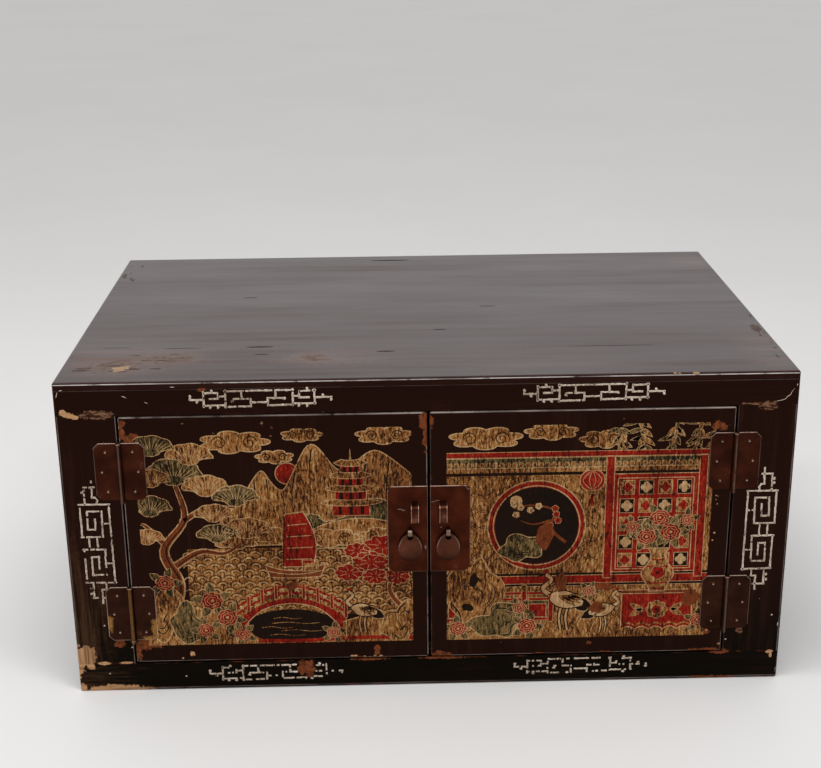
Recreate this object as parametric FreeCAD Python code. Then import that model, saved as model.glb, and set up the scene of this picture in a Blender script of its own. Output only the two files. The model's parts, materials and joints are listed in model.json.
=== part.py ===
import FreeCAD, Part
import math
import os

# Low two-door lacquered cabinet: a framed and panelled wooden case with flush doors on surface hinges.
# Millimetres. The origin is the centre of the underside, the doors face -Y and +Z is up.
# Paired pieces are drawn on the right-hand side, +X, and mirrored to the left.

Vector = FreeCAD.Vector

# Whole case, without its metalwork
case_width = 900.0
case_depth = 590.0
case_height = 420.0
case_edge_radius = 3.0

# Front frame, rear frame and the side rails between them
front_frame_thickness = 30.0
rear_frame_thickness = 24.0
side_rail_thickness = 28.0
front_stile_width = 73.0
rear_post_width = 60.0
top_rail_height = 34.0
bottom_rail_height = 39.0

# Boards and panels
top_board_thickness = 9.0
top_seam_share = 0.6
bottom_board_thickness = 14.0
bottom_seam_share = 0.6
side_panel_thickness = 14.0
back_board_thickness = 10.0
back_board_recess = 5.0
back_seam_share = 0.5

# Joinery of the case
tenon_thickness = 10.0
tenon_length = 20.0
tenon_shoulder = 10.0
tongue_thickness = 5.0
tongue_length = 8.0
tongue_set_back = 5.0
seam_tongue_thickness = 3.0
seam_tongue_length = 5.0
joint_clearance = 0.2

# Battens under the top and the blind pegs that hold the top down
top_batten_offset = 150.0
top_batten_width = 40.0
top_batten_height = 20.0
top_batten_rib_height = 3.0
batten_stub_length = 8.0
batten_stub_shoulder = 5.0
peg_radius = 4.0
peg_depth_in_board = 5.0
peg_depth_in_rail = 10.0
peg_clearance = 0.1
long_rail_peg_shares = (-0.8, -0.4, 0.0, 0.4, 0.8)
side_rail_peg_shares = (-0.5, 0.5)

# Doors and the stops that they close against
door_thickness = 20.0
door_edge_radius = 3.0
door_hinge_gap = 2.0
door_end_gap = 1.5
door_centre_gap = 3.0
door_stop_height = 8.0
door_stop_gap = 0.5
door_batten_width = 40.0
door_batten_proud = 10.0
door_batten_rib_height = 5.0
door_batten_end_gap = 12.0
door_batten_shares = (0.15, 0.85)
dovetail_neck_share = 0.6
dovetail_tail_share = 0.7

# Surface hinges
leaf_width = 31.0
leaf_height = 75.0
leaf_thickness = 1.5
leaf_chamfer = 6.0
leaf_end_inset = 33.0
leaf_running_gap = 0.4
leaf_rim_radius = 0.5
knuckle_radius = 3.3
knuckle_face_gap = 0.3
knuckle_end_gap = 0.2
knuckle_overhang = 3.3
pin_radius = 1.7
pin_running_gap = 0.05
pin_head_radius = 2.6
pin_head_height = 0.8
pin_head_edge_radius = 0.4

# Nails of the hinge leaves, placed by their distance from the hinge axis and from the middle of the leaf
nail_head_radius = 2.2
nail_head_height = 1.3
nail_shank_radius = 0.9
nail_length = 12.0
nail_tip_length = 3.0
nail_clearance = 0.05
nail_near_offset = 16.5
nail_far_offset = 22.0
nail_end_rise = 26.0

# Lock plates
lock_plate_width = 50.0
lock_plate_thickness = 1.5
lock_plate_middle_share = 0.538
lock_plate_over_staple = 22.75
lock_plate_rim_radius = 0.5
lock_plate_notch_radius = 5.0
lock_plate_corner_radius = 11.0

# Strap staples that take the padlock bar, clenched behind the door
staple_width = 9.5
staple_height = 24.5
staple_reach = 13.0
staple_strap = 2.0
staple_bend_radius = 7.0
staple_edge_offset = 16.0
staple_over_eye = 13.75
staple_foot_length = 10.0

# Strap eyes that carry the drop pulls
eye_width = 5.0
eye_strap = 1.2
eye_inner_radius = 3.4
eye_stand_off = 0.4
eye_edge_offset = 22.2
eye_rise = 55.5
eye_foot_length = 8.0
metal_slot_clearance = 0.2

# Egg-shaped drop pulls
drop_length = 39.0
drop_width = 30.5
drop_thickness = 4.0
drop_tip_radius = 6.0
drop_hole_radius = 3.7
drop_hang_gap = 0.3
drop_edge_radius = 1.8

# How far every cutting tool runs past the faces it opens
overrun = 5.0

# Faces and levels that the pieces share
half_width = case_width / 2
front_face = -case_depth / 2
back_face = case_depth / 2
front_frame_back = front_face + front_frame_thickness
rear_frame_front = back_face - rear_frame_thickness
front_frame_middle = front_face + front_frame_thickness / 2
rear_frame_middle = back_face - rear_frame_thickness / 2
side_rail_inner = half_width - side_rail_thickness
side_rail_middle = half_width - side_rail_thickness / 2
bottom_rail_top = bottom_rail_height
top_board_underside = case_height - top_board_thickness
top_rail_underside = top_board_underside - top_rail_height
top_rail_z = (top_rail_underside, top_board_underside)
opening_half = half_width - front_stile_width
post_inner = half_width - rear_post_width

# Faces of the right-hand door and the axis that it swings on
door_hinge_edge = opening_half - door_hinge_gap
door_free_edge = door_centre_gap / 2
door_bottom = bottom_rail_top + door_end_gap
door_top = top_rail_underside - door_end_gap
door_back = front_face + door_thickness
hinge_axis_x = opening_half - door_hinge_gap / 2
hinge_axis_y = front_face - knuckle_face_gap - knuckle_radius
leaf_front = front_face - leaf_thickness
lower_leaf_base = door_bottom + leaf_end_inset
upper_leaf_base = door_top - leaf_end_inset - leaf_height

# Places of the lock plate, its staple and its eye on the right-hand door
plate_front = front_face - lock_plate_thickness
plate_height = eye_rise + staple_over_eye + staple_height + lock_plate_over_staple
plate_bottom = door_bottom + lock_plate_middle_share * (door_top - door_bottom) - plate_height / 2
plate_top = plate_bottom + plate_height
plate_outer_edge = door_free_edge + lock_plate_width
eye_x = door_free_edge + eye_edge_offset
eye_z = plate_bottom + eye_rise
staple_x = door_free_edge + staple_edge_offset
staple_span_z = (eye_z + staple_over_eye, eye_z + staple_over_eye + staple_height)
eye_outer_radius = eye_inner_radius + eye_strap
eye_y = plate_front - eye_stand_off - eye_outer_radius


def centred(middle, size):
    """Span of the given size about a middle."""
    return (middle - size / 2, middle + size / 2)


def grown(span, ease):
    """Span that reaches further by the same amount at both ends."""
    return (span[0] - ease, span[1] + ease)


def block(spans, ease=0.0):
    """Square block over an X, a Y and a Z span, eased outwards where it cuts a socket."""
    x, y, z = [grown(span, ease) for span in spans]
    return Part.makeBox(x[1] - x[0], y[1] - y[0], z[1] - z[0], Vector(x[0], y[0], z[0]))


def prism(points, run):
    """Straight prism on a flat polygon."""
    outline = Part.makePolygon(points + points[:1])
    return Part.Face(outline).extrude(run)


def joined(first, *others):
    """One clean solid from pieces that meet."""
    return first.fuse(list(others)).removeSplitter()


def mirrored(shape):
    """The same piece on the left-hand side."""
    return shape.mirror(Vector(0, 0, 0), Vector(1, 0, 0))


def rounded(shape, radius, x=(), y=(), z=()):
    """Rounds the straight edges where two of the named planes meet."""
    planes = [(0, level) for level in x] + [(1, level) for level in y] + [(2, level) for level in z]

    def planes_met(edge):
        ends = [vertex.Point for vertex in edge.Vertexes]
        return sum(all(abs(end[axis] - level) < joint_clearance for end in ends) for axis, level in planes)

    return shape.makeFillet(radius, [edge for edge in shape.Edges if planes_met(edge) > 1])


def lies_at(edge, y):
    """Whether an edge lies wholly in the plane of one front face."""
    return abs(edge.BoundBox.YMin - y) < joint_clearance and abs(edge.BoundBox.YMax - y) < joint_clearance


# Joint spans: the X, Y and Z spans of each tenon or tongue. Its socket is the same block eased outwards.

foot_tenon_z = (bottom_rail_top - tenon_length, bottom_rail_top)
head_tenon_z = (top_rail_underside, top_rail_underside + tenon_length)
stile_tenon_x = (opening_half + tenon_shoulder, side_rail_inner)
stile_tenon_y = centred(front_frame_middle, tenon_thickness)
post_tenon_x = (post_inner + tenon_shoulder, side_rail_inner)
post_tenon_y = centred(rear_frame_middle, tenon_thickness)
side_tenon_x = centred(side_rail_middle, tenon_thickness)
side_front_tenon_y = (front_frame_back - tenon_length, front_frame_back)
side_rear_tenon_y = (rear_frame_front, rear_frame_front + tenon_length)
low_side_tenon_z = grown((0, bottom_rail_top), -tenon_shoulder)
high_side_tenon_z = grown(top_rail_z, -tenon_shoulder)
side_run_y = (front_frame_back, rear_frame_front)
panel_height_z = (bottom_rail_top, top_rail_underside)

side_tongue = (
    (half_width - tongue_set_back - tongue_thickness, half_width - tongue_set_back),
    grown(side_run_y, tongue_length),
    grown(panel_height_z, tongue_length),
)
bottom_tongue = (
    grown((-side_rail_inner, side_rail_inner), tongue_length),
    grown(side_run_y, tongue_length),
    (tongue_set_back, tongue_set_back + tongue_thickness),
)
back_board_room = (
    grown((-post_inner, post_inner), tongue_length),
    (back_face - back_board_recess - back_board_thickness, back_face - back_board_recess),
    grown(panel_height_z, tongue_length),
)


def batten_stub(at_front):
    """Stub tenon at one end of the right-hand top batten."""
    front_end = (front_frame_back - batten_stub_length, front_frame_back)
    rear_end = (rear_frame_front, rear_frame_front + batten_stub_length)
    return (
        grown(centred(top_batten_offset, top_batten_width), -batten_stub_shoulder),
        front_end if at_front else rear_end,
        grown((top_board_underside - top_batten_height, top_board_underside), -batten_stub_shoulder),
    )


def peg_places():
    """Centres of the blind pegs along the four top rails."""
    places = []
    for share in long_rail_peg_shares:
        places.append((share * half_width, front_frame_middle))
        places.append((share * half_width, rear_frame_middle))
    for share in side_rail_peg_shares:
        places.append((side_rail_middle, share * back_face))
        places.append((-side_rail_middle, share * back_face))
    return places


def peg(place, ease=0.0):
    """Blind peg across the joint of a top rail and a top board."""
    foot = Vector(place[0], place[1], top_board_underside - peg_depth_in_rail - ease)
    return Part.makeCylinder(peg_radius + ease, peg_depth_in_rail + peg_depth_in_board + ease + ease, foot)


def peg_sockets():
    """All peg holes at once, for cutting rails and boards."""
    return [peg(place, peg_clearance) for place in peg_places()]


def both_sides(tools):
    """Right-hand cutting tools with their left-hand copies."""
    return tools + [mirrored(tool) for tool in tools]


# Case frame


def front_bottom_rail():
    """Full-width rail under the doors, mortised for the stiles and the side rails."""
    rail = block(((-half_width, half_width), (front_face, front_frame_back), (0, bottom_rail_top)))
    rail = rounded(rail, case_edge_radius, x=(-half_width, half_width), y=(front_face,), z=(0,))
    sockets = both_sides([
        block((stile_tenon_x, stile_tenon_y, foot_tenon_z), joint_clearance),
        block((side_tenon_x, side_front_tenon_y, low_side_tenon_z), joint_clearance),
        block(side_tongue, joint_clearance),
    ])
    return rail.cut(sockets + [block(bottom_tongue, joint_clearance)])


def front_top_rail():
    """Full-width rail over the doors, under the front top board."""
    rail = block(((-half_width, half_width), (front_face, front_frame_back), top_rail_z))
    rail = rounded(rail, case_edge_radius, x=(-half_width, half_width), y=(front_face,))
    sockets = both_sides([
        block((stile_tenon_x, stile_tenon_y, head_tenon_z), joint_clearance),
        block((side_tenon_x, side_front_tenon_y, high_side_tenon_z), joint_clearance),
        block(side_tongue, joint_clearance),
        block(batten_stub(at_front=True), joint_clearance),
    ])
    return rail.cut(sockets + peg_sockets())


def back_bottom_rail():
    """Full-width rail along the foot of the back."""
    rail = block(((-half_width, half_width), (rear_frame_front, back_face), (0, bottom_rail_top)))
    rail = rounded(rail, case_edge_radius, x=(-half_width, half_width), y=(back_face,), z=(0,))
    sockets = both_sides([
        block((post_tenon_x, post_tenon_y, foot_tenon_z), joint_clearance),
        block((side_tenon_x, side_rear_tenon_y, low_side_tenon_z), joint_clearance),
        block(side_tongue, joint_clearance),
    ])
    return rail.cut(sockets + [block(bottom_tongue, joint_clearance), block(back_board_room, joint_clearance)])


def back_top_rail():
    """Full-width rail along the head of the back, under the rear top board."""
    rail = block(((-half_width, half_width), (rear_frame_front, back_face), top_rail_z))
    rail = rounded(rail, case_edge_radius, x=(-half_width, half_width), y=(back_face,))
    sockets = both_sides([
        block((post_tenon_x, post_tenon_y, head_tenon_z), joint_clearance),
        block((side_tenon_x, side_rear_tenon_y, high_side_tenon_z), joint_clearance),
        block(side_tongue, joint_clearance),
        block(batten_stub(at_front=False), joint_clearance),
    ])
    return rail.cut(sockets + peg_sockets() + [block(back_board_room, joint_clearance)])


def front_stile():
    """Wide upright beside the door opening, tenoned into both front rails."""
    stile = block(((opening_half, half_width), (front_face, front_frame_back), panel_height_z))
    stile = rounded(stile, case_edge_radius, x=(half_width,), y=(front_face,))
    tenons = [block((stile_tenon_x, stile_tenon_y, z)) for z in (foot_tenon_z, head_tenon_z)]
    nails = [nail_socket(x, z) for x, z in nail_places(toward_stile=True)]
    return joined(stile, *tenons).cut(nails + [block(side_tongue, joint_clearance)])


def rear_post():
    """Upright at the back corner, grooved for the side panel and the back boards."""
    post = block(((post_inner, half_width), (rear_frame_front, back_face), panel_height_z))
    post = rounded(post, case_edge_radius, x=(half_width,), y=(back_face,))
    tenons = [block((post_tenon_x, post_tenon_y, z)) for z in (foot_tenon_z, head_tenon_z)]
    grooves = [block(side_tongue, joint_clearance), block(back_board_room, joint_clearance)]
    return joined(post, *tenons).cut(grooves)


def side_rail(height_z, tenon_z):
    """Rail along one side, tenoned into the front and back rails."""
    rail = block(((side_rail_inner, half_width), side_run_y, height_z))
    if height_z[0] == 0:
        rail = rounded(rail, case_edge_radius, x=(half_width,), z=(0,))
    tenons = [block((side_tenon_x, y, tenon_z)) for y in (side_front_tenon_y, side_rear_tenon_y)]
    return joined(rail, *tenons)


def side_bottom_rail():
    """Lower side rail, grooved for the side panel and the bottom boards."""
    rail = side_rail((0, bottom_rail_top), low_side_tenon_z)
    return rail.cut([block(side_tongue, joint_clearance), block(bottom_tongue, joint_clearance)])


def side_top_rail():
    """Upper side rail, grooved for the side panel and bored for the pegs."""
    rail = side_rail(top_rail_z, high_side_tenon_z)
    return rail.cut([block(side_tongue, joint_clearance)] + peg_sockets())


# Panels and boards


def side_panel():
    """Panel flush with the outside of the frame, tongued into it all round."""
    body = block(((half_width - side_panel_thickness, half_width), side_run_y, panel_height_z))
    return joined(body, block(side_tongue))


bottom_seam = front_frame_back + bottom_seam_share * (rear_frame_front - front_frame_back)
bottom_seam_tongue = (
    (-side_rail_inner, side_rail_inner),
    (bottom_seam - seam_tongue_length, bottom_seam),
    centred(bottom_board_thickness / 2, seam_tongue_thickness),
)


def bottom_boards():
    """Front and rear boards of the bottom, flush with the underside and joined at a tongued seam."""
    inside_x = (-side_rail_inner, side_rail_inner)
    whole = joined(block((inside_x, side_run_y, (0, bottom_board_thickness))), block(bottom_tongue))
    beyond_x = grown(bottom_tongue[0], overrun)
    beyond_z = grown((0, bottom_board_thickness), overrun)
    front = whole.cut(block((beyond_x, (bottom_seam, back_face), beyond_z)))
    rear = whole.cut(block((beyond_x, (front_face, bottom_seam), beyond_z)))
    return front.cut(block(bottom_seam_tongue, joint_clearance)), joined(rear, block(bottom_seam_tongue))


back_seam = bottom_rail_top + back_seam_share * (top_rail_underside - bottom_rail_top)
back_seam_tongue = (
    back_board_room[0],
    centred(back_face - back_board_recess - back_board_thickness / 2, seam_tongue_thickness),
    (back_seam - seam_tongue_length, back_seam),
)


def back_boards():
    """Lower and upper boards of the back, housed in the rear frame and joined at a tongued seam."""
    x, y, z = back_board_room
    lower = block((x, y, (z[0], back_seam)))
    upper = block((x, y, (back_seam, z[1])))
    return lower.cut(block(back_seam_tongue, joint_clearance)), joined(upper, block(back_seam_tongue))


top_seam = front_face + top_seam_share * case_depth
top_seam_tongue = (
    (-half_width, half_width),
    (top_seam - seam_tongue_length, top_seam),
    centred(case_height - top_board_thickness / 2, seam_tongue_thickness),
)


def dovetail_rib(batten_width, rib_height, ease=0.0):
    """Half-widths of a dovetailed rib at its neck and at its tail, and how high it stands."""
    neck = batten_width * dovetail_neck_share / 2 + ease
    tail = batten_width * dovetail_tail_share / 2 + ease
    return neck, tail, rib_height + ease


def top_batten_rib(ease=0.0):
    """Rib of the right-hand top batten that holds the two top boards flat."""
    neck, tail, rise = dovetail_rib(top_batten_width, top_batten_rib_height, ease)
    start = front_frame_back - ease
    foot = top_board_underside
    head = foot + rise
    corners = [(-neck, foot), (neck, foot), (tail, head), (-tail, head)]
    points = [Vector(top_batten_offset + x, start, z) for x, z in corners]
    return prism(points, Vector(0, rear_frame_front + ease - start, 0))


def top_batten():
    """Cross batten under the top, stub-tenoned into the front and back rails."""
    z = (top_board_underside - top_batten_height, top_board_underside)
    bar = block((centred(top_batten_offset, top_batten_width), side_run_y, z))
    return joined(bar, top_batten_rib(), block(batten_stub(at_front=True)), block(batten_stub(at_front=False)))


def top_boards():
    """Front and rear boards of the top, joined at a tongued seam over the battens."""
    z = (top_board_underside, case_height)
    front = block(((-half_width, half_width), (front_face, top_seam), z))
    rear = block(((-half_width, half_width), (top_seam, back_face), z))
    sides = (-half_width, half_width)
    front = rounded(front, case_edge_radius, x=sides, y=(front_face,), z=(case_height,))
    rear = rounded(rear, case_edge_radius, x=sides, y=(back_face,), z=(case_height,))
    sockets = both_sides([top_batten_rib(joint_clearance)]) + peg_sockets()
    front = front.cut(sockets + [block(top_seam_tongue, joint_clearance)])
    return front, joined(rear, block(top_seam_tongue)).cut(sockets)


def door_stop(z):
    """Strip behind the doors along one front rail."""
    return block(((-opening_half, opening_half), (door_back + door_stop_gap, front_frame_back), z))


# Doors


def door_batten_middles():
    """Heights of the two battens on the back of a door."""
    return [door_bottom + share * (door_top - door_bottom) for share in door_batten_shares]


def door_batten_rib(middle, x_span, ease=0.0):
    """Dovetailed rib of a door batten, or its housing across the back of the door."""
    neck, tail, depth = dovetail_rib(door_batten_width, door_batten_rib_height, ease)
    root = door_back
    tip = door_back - depth
    corners = [(root, -neck), (root, neck), (tip, tail), (tip, -tail)]
    points = [Vector(x_span[0], y, middle + z) for y, z in corners]
    return prism(points, Vector(x_span[1] - x_span[0], 0, 0))


def door_batten(middle):
    """Batten that slides into the back of a door and keeps it flat."""
    x = grown((door_free_edge, door_hinge_edge), -door_batten_end_gap)
    bar = block((x, (door_back, door_back + door_batten_proud), centred(middle, door_batten_width)))
    return joined(bar, door_batten_rib(middle, x))


def door_board():
    """Flush door board with softened front edges and sockets for its metalwork."""
    edges_x = (door_free_edge, door_hinge_edge)
    edges_z = (door_bottom, door_top)
    board = block((edges_x, (front_face, door_back), edges_z))
    board = rounded(board, door_edge_radius, x=edges_x, y=(front_face,), z=edges_z)
    cuts = [nail_socket(x, z) for x, z in nail_places(toward_stile=False)]
    cuts += [door_batten_rib(z, grown(edges_x, overrun), joint_clearance) for z in door_batten_middles()]
    return board.cut(cuts + metal_leg_slots())


# Hinges


def leaf_bases():
    """Lower edges of the lower and the upper hinge leaves."""
    return (lower_leaf_base, upper_leaf_base)


def nail_places(toward_stile, bases=None):
    """X and Z of the nails of the leaves on one side of the hinge axis."""
    way = 1 if toward_stile else -1
    places = []
    for base in bases or leaf_bases():
        middle = base + leaf_height / 2
        places.append((hinge_axis_x + way * nail_near_offset, middle + nail_end_rise))
        places.append((hinge_axis_x + way * nail_far_offset, middle))
        places.append((hinge_axis_x + way * nail_near_offset, middle - nail_end_rise))
    return places


def nail(x, z):
    """Dome-headed nail driven square into the front, as a turned profile."""
    sphere_radius = (nail_head_radius**2 + nail_head_height**2) / (nail_head_height + nail_head_height)
    half_angle = math.asin(nail_head_radius / sphere_radius) / 2
    shoulder = Vector(nail_shank_radius, 0, 0)
    taper = Vector(nail_shank_radius, nail_length - nail_tip_length, 0)
    tip = Vector(0, nail_length, 0)
    crown = Vector(0, -nail_head_height, 0)
    rim = Vector(nail_head_radius, 0, 0)
    bow = Vector(math.sin(half_angle), 1 - math.cos(half_angle), 0)
    arc_middle = crown + bow * sphere_radius
    edges = [
        Part.Arc(crown, arc_middle, rim).toShape(),
        Part.makeLine(rim, shoulder),
        Part.makeLine(shoulder, taper),
        Part.makeLine(taper, tip),
        Part.makeLine(tip, crown),
    ]
    turned = Part.Face(Part.Wire(edges)).revolve(Vector(0, 0, 0), Vector(0, 1, 0), 360)
    return turned.translated(Vector(x, leaf_front, z))


def nail_socket(x, z):
    """Hole for a nail through a leaf and into the wood behind it."""
    start = Vector(x, leaf_front - overrun, z)
    length = overrun + nail_length + nail_clearance
    return Part.makeCylinder(nail_shank_radius + nail_clearance, length, start, Vector(0, 1, 0))


def hinge_leaf(base, toward_stile):
    """Chamfered leaf with its knuckle: the lower knuckle on the stile side, the upper one on the door side."""
    way = 1 if toward_stile else -1
    top = base + leaf_height
    middle = base + leaf_height / 2
    outline = [
        (0, base),
        (leaf_width - leaf_chamfer, base),
        (leaf_width, base + leaf_chamfer),
        (leaf_width, top - leaf_chamfer),
        (leaf_width - leaf_chamfer, top),
        (0, top),
    ]
    points = [Vector(hinge_axis_x + way * u, front_face, z) for u, z in outline]
    plate = prism(points, Vector(0, -leaf_thickness, 0))
    front_edges = [edge for edge in plate.Edges if lies_at(edge, leaf_front)]
    rim = [edge for edge in front_edges if abs(edge.CenterOfMass.x - hinge_axis_x) > leaf_rim_radius]
    plate = plate.makeFillet(leaf_rim_radius, rim)
    below = (base - knuckle_overhang, middle - knuckle_end_gap / 2)
    above = (middle + knuckle_end_gap / 2, top)
    own = below if toward_stile else above
    clear = knuckle_radius + leaf_running_gap
    relief_z = (below[1], top + overrun) if toward_stile else (base - overrun, above[0])
    relief_y = grown((leaf_front, front_face), overrun)
    relief = block((centred(hinge_axis_x, clear + clear), relief_y, relief_z))
    foot = Vector(hinge_axis_x, hinge_axis_y, own[0])
    knuckle = Part.makeCylinder(knuckle_radius, own[1] - own[0], foot)
    bore = Part.makeCylinder(pin_radius + pin_running_gap, own[1] - own[0], foot)
    nails = [nail_socket(x, z) for x, z in nail_places(toward_stile, [base])]
    return joined(plate.cut(relief), knuckle).cut([bore] + nails)


def hinge_pin(base):
    """Pin through both knuckles with a low button head."""
    top = base + leaf_height
    foot = Vector(hinge_axis_x, hinge_axis_y, base - knuckle_overhang)
    shank = Part.makeCylinder(pin_radius, leaf_height + knuckle_overhang + knuckle_end_gap, foot)
    seat = Vector(hinge_axis_x, hinge_axis_y, top + knuckle_end_gap)
    head = Part.makeCylinder(pin_head_radius, pin_head_height, seat)
    rim = [edge for edge in head.Edges if edge.Vertexes[0].Z > seat.z and len(edge.Vertexes) == 1]
    return joined(head.makeFillet(pin_head_edge_radius, rim), shank)


# Lock plates, staples, eyes and drop pulls


def staple_leg_spans():
    """Upper and lower legs of the staple where they pass through the plate and the door."""
    x = centred(staple_x, staple_width)
    y = (plate_front, door_back)
    low, high = staple_span_z
    return [(x, y, (high - staple_strap, high)), (x, y, (low, low + staple_strap))]


def eye_leg_span():
    """Pair of eye legs, side by side, from the ring to the back of the door."""
    ring_back = eye_y + (eye_inner_radius + eye_outer_radius) / 2
    return (centred(eye_x, eye_width), (ring_back, door_back), centred(eye_z, eye_strap + eye_strap))


def metal_leg_slots():
    """Slots through a door and its lock plate for the staple legs and the eye legs."""
    return [block(spans, metal_slot_clearance) for spans in staple_leg_spans() + [eye_leg_span()]]


def lock_plate():
    """Plate at the free edge of a door: a hollowed upper corner and a round lower corner on its outer side."""
    plate = block(((door_free_edge, plate_outer_edge), (plate_front, front_face), (plate_bottom, plate_top)))
    plate = rounded(plate, lock_plate_corner_radius, x=(plate_outer_edge,), z=(plate_bottom,))
    notch_start = Vector(plate_outer_edge, plate_front - overrun, plate_top)
    notch_length = lock_plate_thickness + overrun + overrun
    notch = Part.makeCylinder(lock_plate_notch_radius, notch_length, notch_start, Vector(0, 1, 0))
    plate = plate.cut(notch)
    rim = [edge for edge in plate.Edges if lies_at(edge, plate_front)]
    plate = plate.makeFillet(lock_plate_rim_radius, rim)
    return plate.cut(metal_leg_slots())


def lock_staple():
    """Bent strap standing out of the lock plate, its legs clenched on the back of the door."""
    x = centred(staple_x, staple_width)
    inner_z = grown(staple_span_z, -staple_strap)
    crown = plate_front - staple_reach
    clench = (door_back, door_back + staple_strap)
    outer = block((x, (crown, clench[1]), staple_span_z))
    outer = rounded(outer, staple_bend_radius, y=(crown,), z=staple_span_z)
    hollow_front = crown + staple_strap
    hollow = block((grown(x, overrun), (hollow_front, clench[1] + overrun), inner_z))
    hollow = rounded(hollow, staple_bend_radius - staple_strap, y=(hollow_front,), z=inner_z)
    feet = [block((x, clench, (leg[2][0], leg[2][1] + staple_foot_length))) for leg in staple_leg_spans()]
    return joined(outer.cut(hollow), *feet)


def pull_eye():
    """Strap rolled into a ring in front of the plate, its two legs clenched on the back of the door."""
    x = centred(eye_x, eye_width)
    start = Vector(x[0], eye_y, eye_z)
    ring = Part.makeCylinder(eye_outer_radius, eye_width, start, Vector(1, 0, 0))
    bore = Part.makeCylinder(eye_inner_radius, eye_width, start, Vector(1, 0, 0))
    legs = block(eye_leg_span())
    feet = block((x, (door_back, door_back + eye_strap), centred(eye_z, eye_foot_length + eye_foot_length)))
    return joined(ring, legs, feet).cut(bore)


def drop_pull():
    """Egg-shaped drop of four tangent arcs, hung by a hole near its tip on the strap eye."""
    half_thickness = drop_thickness / 2
    strap_underside = math.sqrt(eye_inner_radius**2 - half_thickness**2)
    hole_chord = math.sqrt(drop_hole_radius**2 - (eye_width / 2) ** 2)
    tip_z = eye_z - strap_underside + drop_hang_gap - hole_chord
    belly_radius = drop_width / 2
    belly_z = tip_z + drop_tip_radius - drop_length + belly_radius
    rise = tip_z - belly_z
    taper = drop_width - drop_tip_radius - drop_tip_radius
    flank_radius = (belly_radius**2 + rise**2 - drop_tip_radius**2) / taper
    flank_x = flank_radius - belly_radius
    reach = flank_radius - drop_tip_radius
    front = eye_y - half_thickness

    def point(x, z):
        return Vector(eye_x + x, front, z)

    touch_x = drop_tip_radius * flank_x / reach
    touch_z = tip_z + drop_tip_radius * rise / reach
    half_turn = math.atan2(rise, flank_x) / 2
    flank_mid_x = flank_radius * math.cos(half_turn) - flank_x
    flank_mid_z = belly_z + flank_radius * math.sin(half_turn)
    edges = [
        Part.Arc(point(-belly_radius, belly_z), point(0, belly_z - belly_radius), point(belly_radius, belly_z)),
        Part.Arc(point(belly_radius, belly_z), point(flank_mid_x, flank_mid_z), point(touch_x, touch_z)),
        Part.Arc(point(touch_x, touch_z), point(0, tip_z + drop_tip_radius), point(-touch_x, touch_z)),
        Part.Arc(point(-touch_x, touch_z), point(-flank_mid_x, flank_mid_z), point(-belly_radius, belly_z)),
    ]
    egg = Part.Face(Part.Wire([edge.toShape() for edge in edges])).extrude(Vector(0, drop_thickness, 0))
    back = front + drop_thickness
    rims = [edge for edge in egg.Edges if lies_at(edge, front) or lies_at(edge, back)]
    egg = egg.makeFillet(drop_edge_radius, rims)
    hole_start = point(0, tip_z) - Vector(0, overrun, 0)
    hole_length = drop_thickness + overrun + overrun
    return egg.cut(Part.makeCylinder(drop_hole_radius, hole_length, hole_start, Vector(0, 1, 0)))


def right_hand_pieces():
    """Every piece that has a mirrored partner, by its name without the side."""
    lower_batten, upper_batten = [door_batten(middle) for middle in door_batten_middles()]
    pieces = {
        "front_stile": front_stile(),
        "rear_post": rear_post(),
        "side_bottom_rail": side_bottom_rail(),
        "side_top_rail": side_top_rail(),
        "side_panel": side_panel(),
        "top_batten": top_batten(),
        "door_board": door_board(),
        "door_lower_batten": lower_batten,
        "door_upper_batten": upper_batten,
        "door_hinge_nails": Part.makeCompound([nail(x, z) for x, z in nail_places(toward_stile=False)]),
        "lock_plate": lock_plate(),
        "lock_staple": lock_staple(),
        "pull_eye": pull_eye(),
        "drop_pull": drop_pull(),
    }
    for level, base in zip(("lower", "upper"), leaf_bases()):
        pieces[f"{level}_frame_leaf"] = hinge_leaf(base, toward_stile=True)
        pieces[f"{level}_door_leaf"] = hinge_leaf(base, toward_stile=False)
        pieces[f"{level}_hinge_pin"] = hinge_pin(base)
    return pieces


def case_pieces():
    """Every piece that lies across the middle of the case."""
    front_bottom, rear_bottom = bottom_boards()
    lower_back, upper_back = back_boards()
    front_top, rear_top = top_boards()
    right_nails = [nail(x, z) for x, z in nail_places(toward_stile=True)]
    return {
        "front_bottom_rail": front_bottom_rail(),
        "front_top_rail": front_top_rail(),
        "back_bottom_rail": back_bottom_rail(),
        "back_top_rail": back_top_rail(),
        "front_bottom_board": front_bottom,
        "rear_bottom_board": rear_bottom,
        "lower_back_board": lower_back,
        "upper_back_board": upper_back,
        "front_top_board": front_top,
        "rear_top_board": rear_top,
        "top_pegs": Part.makeCompound([peg(place) for place in peg_places()]),
        "upper_door_stop": door_stop((top_rail_underside - door_stop_height, top_rail_underside)),
        "lower_door_stop": door_stop((bottom_rail_top, bottom_rail_top + door_stop_height)),
        "frame_hinge_nails": Part.makeCompound(both_sides(right_nails)),
    }


os.makedirs("parts", exist_ok=True)
for name, shape in case_pieces().items():
    shape.exportStep(f"parts/{name}.step")
for name, shape in right_hand_pieces().items():
    shape.exportStep(f"parts/right_{name}.step")
    mirrored(shape).exportStep(f"parts/left_{name}.step")
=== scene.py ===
"""Looks of a low two-door lacquered cabinet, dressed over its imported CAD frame.

The frame is in metres: the origin is the centre of the underside, the doors face -Y and +Z is up.
Sizes and places below are in millimetres and become metres where a mesh or a material is made.
"""

import json
import logging
from dataclasses import dataclass, field, replace
from enum import Enum
from typing import Callable, Iterable, Sequence

import bpy
import numpy as np
from mathutils import Matrix, Vector

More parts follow.
